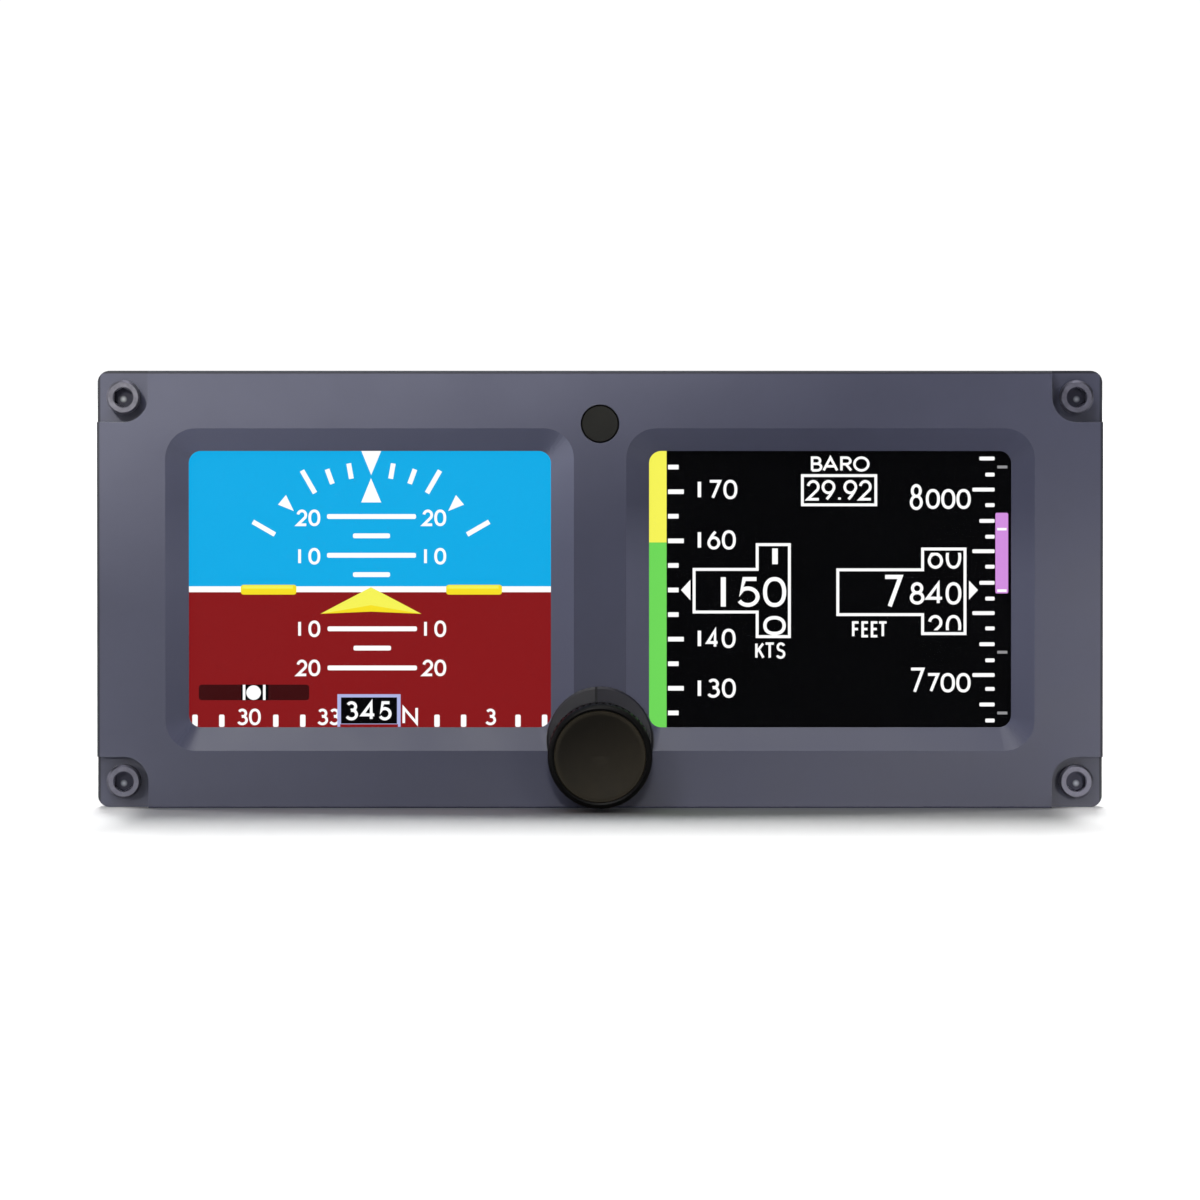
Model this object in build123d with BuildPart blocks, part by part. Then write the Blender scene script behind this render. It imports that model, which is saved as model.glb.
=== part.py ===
from build123d import *
import math
import os

# Panel-mounted electronic standby attitude indicator with two displays side by side.
# Frame: origin at the centre of the bezel's mounting face (the plane of the aircraft panel),
# +X to the right as the pilot sees it, +Z up, -Y towards the pilot, +Y into the panel.
# All sizes are in millimetres.

os.makedirs("parts", exist_ok=True)

# ------------------------------------------------------------------ driving dimensions
bezel_w, bezel_h, bezel_t = 139.7, 60.7, 6.35   # 5.50 in x 2.39 in x 1/4 in
bezel_corner = 1.6
bezel_edge = 0.2
seat_depth = 0.5                                # the case sits this deep in the bezel's back

display_x = 32.0                                # centre of each display from the middle
aperture_w, aperture_h, aperture_r = 50.35, 38.45, 1.7
flare_w, flare_h, flare_r = 56.75, 44.8, 4.2    # outer outline of the chamfered recess
flare_depth = 2.0
lip_t = 0.4
lens_w, lens_h, lens_t = 53.4, 41.3, 1.1
lcd_cx, lcd_w, lcd_h = 31.95, 56.8, 43.4        # display module outline
gasket_t, cell_t, light_t, bracket_t = 0.5, 1.5, 2.8, 0.8

screw_x, screw_z = 66.2, 26.7                   # panel screws, 4-40 socket head
notch_r, notch_depth = 3.45, 2.9
screw_head_r, screw_head_h, screw_r = 2.36, 2.8, 1.42
screw_reach = 6.5                               # thread standing out behind the bezel
screw_hole_r = 1.6

sensor_z, sensor_hole_r = 23.03, 2.7            # light sensor window above the middle

knob_z = -22.6                                  # control knob axis
knob_skirt_r, knob_r, knob_neck_r, knob_face_r = 7.1, 7.2, 5.7, 6.33
knob_front = -21.48                             # Y of the knob's front face
knob_back = -7.75                               # Y of its back end
knob_travel = 0.5                               # push travel
set_screw_y = -10.55
collar_r, collar_z, boss_rise = 7.4, -20.9, 0.5  # round collar on the bezel behind the knob
shaft_r = 3.0

case_w, case_h, case_wall = 125.0, 57.2, 1.5
case_back = 99.5                                # Y of the case's rear edge
rear_t = 2.5
lug_w, lug_in, lug_out, lug_back = 7.0, 22.3, 26.95, 8.0
lug_xs = (-48.0, -16.0, 16.0, 48.0)
case_screw_y = 4.0

board_w, board_h, board_t = 109.0, 53.6, 1.6
front_board_y = 8.0                             # front face of the display board
main_board_y = 19.6                             # front face of the processor board

enc_half, enc_front, enc_back = 4.35, 9.6, 17.6 # encoder body

bay_x0, bay_x1, bay_z0, bay_z1 = -59.2, -0.8, -27.1, 4.2
pack_x0, pack_x1, pack_z0, pack_z1 = -57.9, -2.1, -26.4, 2.6
pack_front = 31.0
cell_r, cell_len = 13.05, 65.3
plate_x0, plate_x1, plate_z0, plate_z1 = -61.2, 1.6, -28.0, 13.6
plate_t = 2.5
thumb_xs, thumb_z = (-51.0, -9.0), 8.3

dsub_x, dsub_z = 33.0, -12.0                    # 15-way connector
dsub_pitch = 33.3
port_xs, port_z = (19.0, 46.0), 9.0             # pitot and static ports


# ------------------------------------------------------------------ helpers
def front(y):
    """Plane parallel to the panel at the given Y, facing the pilot (extrudes towards -Y)."""
    return Plane(origin=(0, y, 0), x_dir=(1, 0, 0), z_dir=(0, -1, 0))


def turned(x, z):
    """Plane for profiles (radius, Y) that are revolved about an axis parallel to Y."""
    return Plane(origin=(x, 0, z), x_dir=(1, 0, 0), z_dir=(0, 0, 1))


def level(z):
    """Horizontal plane at the given Z, facing up."""
    return Plane(origin=(0, 0, z), x_dir=(1, 0, 0), z_dir=(0, 0, 1))


def y_axis(x, z):
    return Axis((x, 0, z), (0, 1, 0))


def cap_mid(r, y_edge, y_apex):
    """Point halfway along a shallow spherical cap, as (radius, Y)."""
    h = y_edge - y_apex
    big = (r * r + h * h) / (2 * abs(h))
    drop = big - math.sqrt(big * big - r * r / 4)
    return (r / 2, y_apex + math.copysign(drop, h))


def keep(part, label):
    part.label = label
    export_step(part, f"parts/{label}.step")


y_face = -bezel_t                               # front face of the bezel
y_flare = y_face + flare_depth                  # bottom of the chamfer
y_lens = y_flare + lip_t                        # front of the display window
y_pocket = y_lens + lens_t                      # front of the display module's pocket
y_cell = y_pocket + gasket_t
y_light = y_cell + cell_t
y_bracket = y_light + light_t
y_bracket_back = y_bracket + bracket_t
y_boss = y_face - boss_rise

# ------------------------------------------------------------------ bezel
with BuildPart() as bezel:
    with BuildSketch(front(0)):
        RectangleRounded(bezel_w, bezel_h, bezel_corner)
    extrude(amount=bezel_t)
    chamfer(bezel.faces().sort_by(Axis.Y)[0].edges(), bezel_edge)
    # chamfered recess round each display
    for cx in (-display_x, display_x):
        with BuildSketch(front(y_face)):
            with Locations((cx, 0)):
                RectangleRounded(flare_w, flare_h, flare_r)
        with BuildSketch(front(y_flare)):
            with Locations((cx, 0)):
                RectangleRounded(aperture_w, aperture_h, aperture_r)
        loft(ruled=True, mode=Mode.SUBTRACT)
    # aperture, window pocket and display module pocket, one inside the other
    with BuildSketch(front(y_pocket)):
        with Locations((-display_x, 0), (display_x, 0)):
            RectangleRounded(aperture_w, aperture_h, aperture_r)
    extrude(amount=y_pocket - y_flare, mode=Mode.SUBTRACT)
    with BuildSketch(front(y_pocket)):
        with Locations((-display_x, 0), (display_x, 0)):
            RectangleRounded(lens_w + 0.4, lens_h + 0.4, 1.0)
    extrude(amount=lens_t, mode=Mode.SUBTRACT)
    with BuildSketch(front(0)):
        with Locations((-lcd_cx, 0), (lcd_cx, 0)):
            RectangleRounded(lcd_w + 0.5, lcd_h + 0.5, 0.6)
    extrude(amount=-y_pocket, mode=Mode.SUBTRACT)
    # round collar that carries the knob's shaft
    with BuildSketch(front(y_lens)):
        with Locations((0, collar_z)):
            Circle(collar_r)
    extrude(amount=y_lens - y_boss)
    boss_face = bezel.faces().sort_by(Axis.Y)[0]
    chamfer(boss_face.edges(), 0.25)
    with BuildSketch(front(y_boss + 0.3)):      # index line at its top
        with Locations((-0.52, collar_z + collar_r - 1.6)):
            Rectangle(0.34, 3.4)
    extrude(amount=0.3, mode=Mode.SUBTRACT)
    # seat for the case on the back
    with BuildSketch(front(0)):
        Rectangle(case_w + 0.3, case_h + 0.3)
    extrude(amount=seat_depth, mode=Mode.SUBTRACT)
    # lugs that the case screws to, and bosses for the display bracket
    with BuildSketch(front(lug_back)):
        for side in (-1, 1):
            with Locations(*[(x, side * (lug_in + lug_out) / 2) for x in lug_xs]):
                Rectangle(lug_w, lug_out - lug_in)
    extrude(amount=lug_back + seat_depth)
    with BuildSketch(front(y_bracket)):
        with GridLocations(64, 48.6, 2, 2):
            Circle(2.2)
    extrude(amount=y_bracket + seat_depth)
    with BuildSketch(front(y_bracket)):
        with GridLocations(64, 48.6, 2, 2):
            Circle(0.85)
    extrude(amount=4.2, mode=Mode.SUBTRACT)
    with BuildSketch(front(lug_back)):
        with GridLocations(96, 48.6, 2, 2):
            Circle(1.05)
    extrude(amount=2.8, mode=Mode.SUBTRACT)
    with BuildSketch(level(-lug_out)):
        with Locations(*[(x, case_screw_y) for x in lug_xs]):
            Circle(1.1)
    extrude(amount=lug_out - lug_in, mode=Mode.SUBTRACT)
    with BuildSketch(level(lug_in)):
        with Locations(*[(x, case_screw_y) for x in lug_xs]):
            Circle(1.1)
    extrude(amount=lug_out - lug_in, mode=Mode.SUBTRACT)
    # spot-faced corners and the panel screws' holes
    for sx in (-1, 1):
        for sz in (-1, 1):
            with BuildSketch(front(y_face + notch_depth)):
                with Locations((sx * screw_x, sz * screw_z)):
                    Circle(notch_r)
                with Locations((sx * (screw_x - notch_r + 4.5), sz * (screw_z + 2.5))):
                    Rectangle(9.0, 5.0)
                with Locations((sx * (screw_x + 2.5), sz * (screw_z - notch_r + 4.5))):
                    Rectangle(5.0, 9.0)
            extrude(amount=notch_depth, mode=Mode.SUBTRACT)
    with BuildSketch(front(0)):
        with GridLocations(2 * screw_x, 2 * screw_z, 2, 2):
            Circle(screw_hole_r)
    extrude(amount=bezel_t, mode=Mode.SUBTRACT)
    # light sensor window's hole
    with BuildSketch(front(y_face + 1.7)):
        with Locations((0, sensor_z)):
            Circle(sensor_hole_r)
    extrude(amount=1.7, mode=Mode.SUBTRACT)
    with BuildSketch(front(0)):
        with Locations((0, sensor_z)):
            Circle(1.9)
    extrude(amount=bezel_t, mode=Mode.SUBTRACT)
    # bore for the shaft's bushing
    with BuildSketch(front(y_pocket)):
        with Locations((0, knob_z)):
            Circle(4.0)
    extrude(amount=y_pocket - y_boss, mode=Mode.SUBTRACT)
    with BuildSketch(front(0)):
        with Locations((0, knob_z)):
            Circle(3.2)
    extrude(amount=-y_pocket, mode=Mode.SUBTRACT)
keep(bezel.part, "bezel")

# ------------------------------------------------------------------ panel screws
with BuildPart() as panel_screws:
    for sx in (-1, 1):
        for sz in (-1, 1):
            x, z = sx * screw_x, sz * screw_z
            y_seat = y_face + notch_depth
            with BuildSketch(turned(x, z)):
                with BuildLine():
                    Polyline(
                        (0, y_seat - screw_head_h),
                        (screw_head_r - 0.28, y_seat - screw_head_h),
                        (screw_head_r, y_seat - screw_head_h + 0.28),
                        (screw_head_r, y_seat),
                        (screw_r - 0.22, y_seat),
                        (screw_r - 0.22, 0.1),
                        (screw_r, 0.1),
                        (screw_r, screw_reach - 0.4),
                        (screw_r - 0.4, screw_reach),
                        (0, screw_reach),
                        close=True,
                    )
                make_face()
            revolve(axis=y_axis(x, z))
            with BuildSketch(front(y_seat - screw_head_h + 1.5)):
                with Locations((x, z)):
                    RegularPolygon(1.19, 6, major_radius=False, rotation=30)
            extrude(amount=1.5, mode=Mode.SUBTRACT)
keep(panel_screws.part, "panel_screws")

# ------------------------------------------------------------------ display windows and modules
for name, cx in (("display_window_left", -display_x), ("display_window_right", display_x)):
    with BuildPart() as window:
        with BuildSketch(front(y_pocket)):
            with Locations((cx, 0)):
                RectangleRounded(lens_w, lens_h, 0.8)
        extrude(amount=lens_t)
    keep(window.part, name)

with BuildPart() as window_gaskets:
    with BuildSketch(front(y_cell)):
        with Locations((-lcd_cx, 0), (lcd_cx, 0)):
            RectangleRounded(lcd_w, lcd_h, 0.6)
        with Locations((-display_x, 0), (display_x, 0)):
            RectangleRounded(aperture_w + 0.9, aperture_h + 0.9, 1.8, mode=Mode.SUBTRACT)
    extrude(amount=gasket_t)
keep(window_gaskets.part, "window_gaskets")

for name, cx in (("lcd_panel_left", -lcd_cx), ("lcd_panel_right", lcd_cx)):
    with BuildPart() as lcd_panel:
        with BuildSketch(front(y_light)):
            with Locations((cx, 0)):
                Rectangle(lcd_w - 0.2, lcd_h - 0.2)
        extrude(amount=cell_t)
    keep(lcd_panel.part, name)

with BuildPart() as backlight_units:
    with BuildSketch(front(y_bracket)):
        with Locations((-lcd_cx, 0), (lcd_cx, 0)):
            RectangleRounded(lcd_w, lcd_h, 0.6)
    extrude(amount=light_t)
keep(backlight_units.part, "backlight_units")

with BuildPart() as display_bracket:
    with BuildSketch(front(y_bracket_back)):
        Rectangle(120.6, lcd_h)
        with GridLocations(64, 48.6, 2, 2):
            RectangleRounded(9.0, 4.6, 1.0)
        with GridLocations(64, 44.4, 2, 2):
            Rectangle(9.0, 4.0)
        with Locations((0, -24.0)):
            Rectangle(13.0, 5.4)
        with Locations((-display_x, 0), (display_x, 0)):
            RectangleRounded(38.0, 30.0, 2.0, mode=Mode.SUBTRACT)
        with GridLocations(64, 48.6, 2, 2):
            Circle(1.1, mode=Mode.SUBTRACT)
        with Locations((0, knob_z)):
            Circle(3.4, mode=Mode.SUBTRACT)
        with Locations((0, sensor_z)):
            Circle(2.1, mode=Mode.SUBTRACT)
    extrude(amount=bracket_t)
keep(display_bracket.part, "display_bracket")

with BuildPart() as bracket_screws:
    for x in (-32.0, 32.0):
        for z in (-24.3, 24.3):
            with BuildSketch(turned(x, z)):
                with BuildLine():
                    Polyline(
                        (0, y_bracket_back + 1.2),
                        (1.5, y_bracket_back + 1.2),
                        (1.9, y_bracket_back + 0.8),
                        (1.9, y_bracket_back),
                        (0.8, y_bracket_back),
                        (0.8, y_bracket - 4.0),
                        (0, y_bracket - 4.0),
                        close=True,
                    )
                make_face()
            revolve(axis=y_axis(x, z))
            with BuildSketch(front(y_bracket_back + 1.2)):
                with Locations((x, z)):
                    RegularPolygon(0.65, 6, major_radius=False)
            extrude(amount=0.7, mode=Mode.SUBTRACT)
keep(bracket_screws.part, "bracket_screws")

with BuildPart() as display_ribbons:
    for cx in (-display_x, display_x):
        with BuildSketch(front(front_board_y)):
            with Locations((cx, -12.0)):
                Rectangle(14.0, 0.3)
        extrude(amount=front_board_y - y_bracket)
keep(display_ribbons.part, "display_ribbons")

# ------------------------------------------------------------------ light sensor
with BuildPart() as light_pipe:
    with BuildSketch(front(y_face + 1.7)):
        with Locations((0, sensor_z)):
            Circle(sensor_hole_r - 0.12)
    extrude(amount=1.5)
    chamfer(light_pipe.faces().sort_by(Axis.Y)[0].edges(), 0.15)
    with BuildSketch(front(front_board_y - 1.0)):
        with Locations((0, sensor_z)):
            Circle(1.75)
    extrude(amount=front_board_y - 1.0 - (y_face + 1.7))
keep(light_pipe.part, "light_pipe")

with BuildPart() as light_sensor:
    with BuildSketch(front(front_board_y)):
        with Locations((0, sensor_z)):
            Rectangle(3.2, 2.6)
    extrude(amount=1.0)
keep(light_sensor.part, "light_sensor")

# ------------------------------------------------------------------ knob, shaft and encoder
hub_r, hub_front, hub_back = 4.4, -19.75, -8.3
face_t = 1.0
with BuildPart() as knob_cap:
    with BuildSketch(turned(0, knob_z)):
        with BuildLine():
            outer = [
                (hub_r, knob_back),
                (knob_neck_r - 0.4, knob_back),
                (knob_neck_r, knob_back - 0.4),
                (knob_neck_r, -9.0),
                (knob_skirt_r, -9.5),
                (knob_skirt_r, -11.6),
                (knob_r, -13.2),
                (knob_r, -20.3),
            ]
            Polyline(*outer)
            ThreePointArc(
                (knob_r, -20.3),
                (knob_r - 0.12, -21.05),
                (knob_face_r + 0.3, knob_front),
            )
            Polyline(
                (knob_face_r + 0.3, knob_front),
                (knob_face_r + 0.06, knob_front + 0.18),
                (knob_face_r + 0.06, knob_front + 0.18 + face_t),
                (hub_r, knob_front + 0.18 + face_t),
                (hub_r, knob_back),
            )
        make_face()
    revolve(axis=y_axis(0, knob_z))
    # grip serrations round the wide part
    with BuildSketch(front(-13.7)):
        with Locations((0, knob_z)):
            with PolarLocations(knob_r + 0.14, 48, start_angle=3.75):
                Circle(0.3)
    extrude(amount=6.2, mode=Mode.SUBTRACT)
    # holes for the two set screws
    with BuildSketch(Plane(origin=(0, set_screw_y, knob_z), x_dir=(0, 1, 0), z_dir=(0, 0, -1))):
        Circle(0.9)
    extrude(amount=8.6, mode=Mode.SUBTRACT)
    with BuildSketch(Plane(origin=(0, set_screw_y, knob_z), x_dir=(0, 1, 0), z_dir=(1, 0, 0))):
        Circle(0.9)
    extrude(amount=8.6, mode=Mode.SUBTRACT)
keep(knob_cap.part, "knob_cap")

with BuildPart() as knob_face:
    with BuildSketch(turned(0, knob_z)):
        with BuildLine():
            y0 = knob_front + 0.18
            Polyline(
                (0, y0 + face_t),
                (knob_face_r, y0 + face_t),
                (knob_face_r, y0 + 0.1),
                (knob_face_r - 0.1, y0),
                (knob_face_r - 0.55, y0),
            )
            rim_r = knob_face_r - 0.55
            ThreePointArc((rim_r, y0), cap_mid(rim_r, y0, y0 + 0.3), (0, y0 + 0.3))
            Line((0, y0 + 0.3), (0, y0 + face_t))
        make_face()
    revolve(axis=y_axis(0, knob_z))
keep(knob_face.part, "knob_face")

with BuildPart() as knob_hub:
    with BuildSketch(front(hub_back)):
        with Locations((0, knob_z)):
            Circle(hub_r - 0.01)
    extrude(amount=hub_back - hub_front)
    with BuildSketch(front(hub_back)):
        with Locations((0, knob_z)):
            Circle(shaft_r + 0.01)
            with Locations((0, shaft_r - 0.5 + 1.5)):
                Rectangle(7.0, 3.0, mode=Mode.SUBTRACT)
    extrude(amount=hub_back - hub_front - 0.8, mode=Mode.SUBTRACT)
    with BuildSketch(Plane(origin=(0, set_screw_y, knob_z), x_dir=(0, 1, 0), z_dir=(0, 0, -1))):
        Circle(0.84)
    extrude(amount=7.0, mode=Mode.SUBTRACT)
    with BuildSketch(Plane(origin=(0, set_screw_y, knob_z), x_dir=(0, 1, 0), z_dir=(1, 0, 0))):
        Circle(0.84)
    extrude(amount=7.0, mode=Mode.SUBTRACT)
keep(knob_hub.part, "knob_hub")

with BuildPart() as knob_set_screws:
    for direction in ((0, 0, -1), (1, 0, 0)):
        start = Vector(0, set_screw_y, knob_z) + Vector(*direction) * (shaft_r + 0.02)
        with BuildSketch(Plane(origin=start, x_dir=(0, 1, 0), z_dir=direction)):
            Circle(0.82)
        extrude(amount=2.3)
        top = Vector(0, set_screw_y, knob_z) + Vector(*direction) * (shaft_r + 2.32)
        with BuildSketch(Plane(origin=top, x_dir=(0, 1, 0), z_dir=direction)):
            RegularPolygon(0.36, 6, major_radius=False)
        extrude(amount=-1.0, mode=Mode.SUBTRACT)
keep(knob_set_screws.part, "knob_set_screws")

shaft_front = hub_front + 0.9
clip_y = y_bracket_back + 0.05
step_y = 10.25
shaft_end = 13.6
with BuildPart() as knob_shaft:
    with BuildSketch(front(step_y)):
        with Locations((0, knob_z)):
            Circle(shaft_r)
    extrude(amount=step_y - shaft_front)
    with BuildSketch(front(shaft_end)):
        with Locations((0, knob_z)):
            Circle(1.75)
            with Locations((0, 1.25 + 1.0)):
                Rectangle(4.0, 2.0, mode=Mode.SUBTRACT)
    extrude(amount=shaft_end - step_y)
    # flat under the hub, and the groove for the clip
    with BuildSketch(front(hub_back)):
        with Locations((0, knob_z + shaft_r - 0.5 + 1.5)):
            Rectangle(7.0, 3.0)
    extrude(amount=hub_back - shaft_front, mode=Mode.SUBTRACT)
    with BuildSketch(front(clip_y + 0.65)):
        with Locations((0, knob_z)):
            Circle(shaft_r + 1.0)
            Circle(shaft_r - 0.5, mode=Mode.SUBTRACT)
    extrude(amount=0.65, mode=Mode.SUBTRACT)
keep(knob_shaft.part, "knob_shaft")

with BuildPart() as shaft_clip:
    with BuildSketch(front(clip_y + 0.62)):
        with Locations((0, knob_z)):
            Circle(4.35)
            Circle(shaft_r - 0.48, mode=Mode.SUBTRACT)
            with Locations((0, 3.2)):
                Rectangle(2.6, 6.4, mode=Mode.SUBTRACT)
    extrude(amount=0.6)
keep(shaft_clip.part, "shaft_clip")

with BuildPart() as shaft_bushing:
    with BuildSketch(front(y_boss + 2.8)):
        with Locations((0, knob_z)):
            Circle(3.995)
            Circle(shaft_r + 0.04, mode=Mode.SUBTRACT)
    extrude(amount=2.8)
keep(shaft_bushing.part, "shaft_bushing")

with BuildPart() as shaft_seal:
    with BuildSketch(turned(0, knob_z)):
        with Locations((shaft_r + 0.5, y_boss + 2.8 + 0.55)):
            Ellipse(0.45, 0.5)
    revolve(axis=y_axis(0, knob_z))
keep(shaft_seal.part, "shaft_seal")

with BuildPart() as encoder_housing:
    with BuildSketch(front(enc_back - 1.0)):
        with Locations((0, knob_z)):
            RectangleRounded(2 * enc_half, 2 * enc_half, 0.5)
    extrude(amount=enc_back - 1.0 - enc_front)
    with BuildSketch(front(enc_back - 1.0)):
        with Locations((0, knob_z)):
            Circle(3.9)
    extrude(amount=enc_back - 1.0 - enc_front - 1.2, mode=Mode.SUBTRACT)
    with BuildSketch(front(enc_front + 1.2)):
        with Locations((0, knob_z)):
            Circle(shaft_r + 0.05)
    extrude(amount=1.2, mode=Mode.SUBTRACT)
keep(encoder_housing.part, "encoder_housing")

with BuildPart() as encoder_rotor:
    with BuildSketch(front(12.3)):
        with Locations((0, knob_z)):
            Circle(3.7)
    extrude(amount=1.0)
    with BuildSketch(front(12.3)):
        with Locations((0, knob_z)):
            with PolarLocations(3.0, 12):
                Rectangle(0.9, 0.55)
    extrude(amount=1.0, mode=Mode.SUBTRACT)
    with BuildSketch(front(12.3)):
        with Locations((0, knob_z)):
            Circle(1.8)
            with Locations((0, 1.3 + 1.0)):
                Rectangle(4.2, 2.0, mode=Mode.SUBTRACT)
    extrude(amount=1.0, mode=Mode.SUBTRACT)
keep(encoder_rotor.part, "encoder_rotor")

plunger_y = shaft_end + 0.02
with BuildPart() as push_plunger:
    with BuildSketch(front(plunger_y + 0.9)):
        with Locations((0, knob_z)):
            Circle(2.6)
            with PolarLocations(2.9, 3, start_angle=90):
                Rectangle(1.6, 1.2)
    extrude(amount=0.9)
keep(push_plunger.part, "push_plunger")

dome_base = enc_back - 1.0
with BuildPart() as push_dome:
    with BuildSketch(turned(0, knob_z)):
        with BuildLine():
            top_y = plunger_y + 0.95
            ThreePointArc((2.6, dome_base), cap_mid(2.6, dome_base, top_y), (0, top_y))
            Line((0, top_y), (0, top_y + 0.15))
            ThreePointArc((0, top_y + 0.15), cap_mid(2.4, dome_base, top_y + 0.15), (2.4, dome_base))
            Line((2.4, dome_base), (2.6, dome_base))
        make_face()
    revolve(axis=y_axis(0, knob_z))
keep(push_dome.part, "push_dome")

with BuildPart() as encoder_base:
    with BuildSketch(front(enc_back)):
        with Locations((0, knob_z)):
            RectangleRounded(2 * enc_half, 2 * enc_half, 0.5)
    extrude(amount=1.0)
    with BuildSketch(front(enc_back + 0.4)):
        with Locations((0, knob_z)):
            with GridLocations(2.4, 7.0, 3, 2):
                Rectangle(0.8, 0.5)
    extrude(amount=0.4)
keep(encoder_base.part, "encoder_base")

# ------------------------------------------------------------------ case
half_w, half_h = case_w / 2, case_h / 2
in_w, in_h = half_w - case_wall, half_h - case_wall
case_len = case_back + seat_depth

with BuildPart() as chassis_tray:
    with BuildSketch(front(case_back)):
        with BuildLine():
            Polyline(
                (-half_w, in_h), (-half_w, -half_h), (half_w, -half_h), (half_w, in_h),
                (in_w - 6, in_h), (in_w - 6, in_h - 1.5), (in_w, in_h - 1.5),
                (in_w, -in_h), (-in_w, -in_h), (-in_w, in_h - 1.5),
                (-in_w + 6, in_h - 1.5), (-in_w + 6, in_h),
                close=True,
            )
        make_face()
    extrude(amount=case_len)
    fillet(
        chassis_tray.edges().filter_by(Axis.Y).filter_by(
            lambda e: abs(abs(e.center().X) - half_w) < 0.01 and e.center().Z < -in_h - 1
        ),
        1.2,
    )
    # the bent flanges stop short of the bezel's lugs
    with BuildSketch(level(in_h)):
        with Locations((-in_w + 3, 5.0), (in_w - 3, 5.0)):
            Rectangle(6.0, 14.0)
    extrude(amount=-1.5, mode=Mode.SUBTRACT)
    with BuildSketch(level(in_h - 1.5)):
        with Locations(*[(sx * (in_w - 3), y) for sx in (-1, 1) for y in (22.0, 55.0, 88.0)]):
            Circle(1.1)
    extrude(amount=1.5, mode=Mode.SUBTRACT)
    # countersunk holes: bottom lugs, rear plate tabs
    with Locations(Plane(origin=(0, 0, -half_h), x_dir=(1, 0, 0), z_dir=(0, 0, -1))):
        with Locations(*[(x, -case_screw_y) for x in lug_xs], (30.0, -(case_back - 5.0))):
            CounterSinkHole(1.2, 2.2, depth=case_wall, counter_sink_angle=82)
    with Locations(Plane(origin=(half_w, 0, 0), x_dir=(0, 1, 0), z_dir=(1, 0, 0))):
        with Locations((case_back - 5.0, 15.0), (case_back - 5.0, -14.0)):
            CounterSinkHole(1.2, 2.2, depth=case_wall, counter_sink_angle=82)
    with Locations(Plane(origin=(-half_w, 0, 0), x_dir=(0, -1, 0), z_dir=(-1, 0, 0))):
        with Locations((-(case_back - 5.0), 17.0)):
            CounterSinkHole(1.2, 2.2, depth=case_wall, counter_sink_angle=82)
keep(chassis_tray.part, "chassis_tray")

cover_holes = [(x, case_screw_y) for x in lug_xs]
cover_holes += [(sx * (in_w - 3), y) for sx in (-1, 1) for y in (22.0, 55.0, 88.0)]
cover_holes += [(-30.0, case_back - 5.0), (30.0, case_back - 5.0)]
with BuildPart() as top_cover:
    with BuildSketch(level(in_h)):
        with Locations((0, (case_back - seat_depth) / 2)):
            Rectangle(case_w, case_len)
    extrude(amount=case_wall)
    fillet(
        top_cover.edges().filter_by(Axis.Y).filter_by(lambda e: e.center().Z > half_h - 0.01),
        1.2,
    )
    with Locations(Plane(origin=(0, 0, half_h), x_dir=(1, 0, 0), z_dir=(0, 0, 1))):
        with Locations(*cover_holes):
            CounterSinkHole(1.2, 2.2, depth=case_wall, counter_sink_angle=82)
keep(top_cover.part, "top_cover")


def flat_head(origin, outward, length):
    """Countersunk screw whose head is flush at origin, running inwards."""
    plane = Plane(origin=origin, x_dir=(0, 1, 0), z_dir=outward)
    profile = Plane(origin=origin, x_dir=plane.x_dir, z_dir=plane.y_dir)
    # in this plane local x is the radius and local y runs against the outward direction
    with BuildPart() as screw:
        with BuildSketch(profile):
            with BuildLine():
                s = 1 if profile.y_dir.dot(Vector(*outward)) > 0 else -1
                Polyline(
                    (0, -0.02 * s), (2.06, -0.02 * s), (2.06, -0.12 * s), (1.08, -1.2 * s),
                    (1.08, -(length - 0.3) * s), (0.8, -length * s), (0, -length * s),
                    close=True,
                )
            make_face()
        revolve(axis=Axis(origin, outward))
        with BuildSketch(Plane(origin=origin, x_dir=plane.x_dir, z_dir=outward)):
            Rectangle(2.1, 0.5)
            Rectangle(0.5, 2.1)
        extrude(amount=-0.75, mode=Mode.SUBTRACT)
    return screw.part


bezel_screws = Compound(
    children=[flat_head((x, case_screw_y, sz * half_h), (0, 0, sz), 5.6) for x in lug_xs for sz in (-1, 1)]
)
keep(bezel_screws, "bezel_screws")

cover_screws = Compound(
    children=[
        flat_head((sx * (in_w - 3), y, half_h), (0, 0, 1), 2.9)
        for sx in (-1, 1)
        for y in (22.0, 55.0, 88.0)
    ]
)
keep(cover_screws, "cover_screws")

tab_y = case_back - 5.0
rear_screws = Compound(
    children=[
        flat_head((-30.0, tab_y, half_h), (0, 0, 1), 3.8),
        flat_head((30.0, tab_y, half_h), (0, 0, 1), 3.8),
        flat_head((30.0, tab_y, -half_h), (0, 0, -1), 3.8),
        flat_head((half_w, tab_y, 15.0), (1, 0, 0), 3.8),
        flat_head((half_w, tab_y, -14.0), (1, 0, 0), 3.8),
        flat_head((-half_w, tab_y, 17.0), (-1, 0, 0), 3.8),
    ]
)
keep(rear_screws, "rear_plate_screws")

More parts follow.
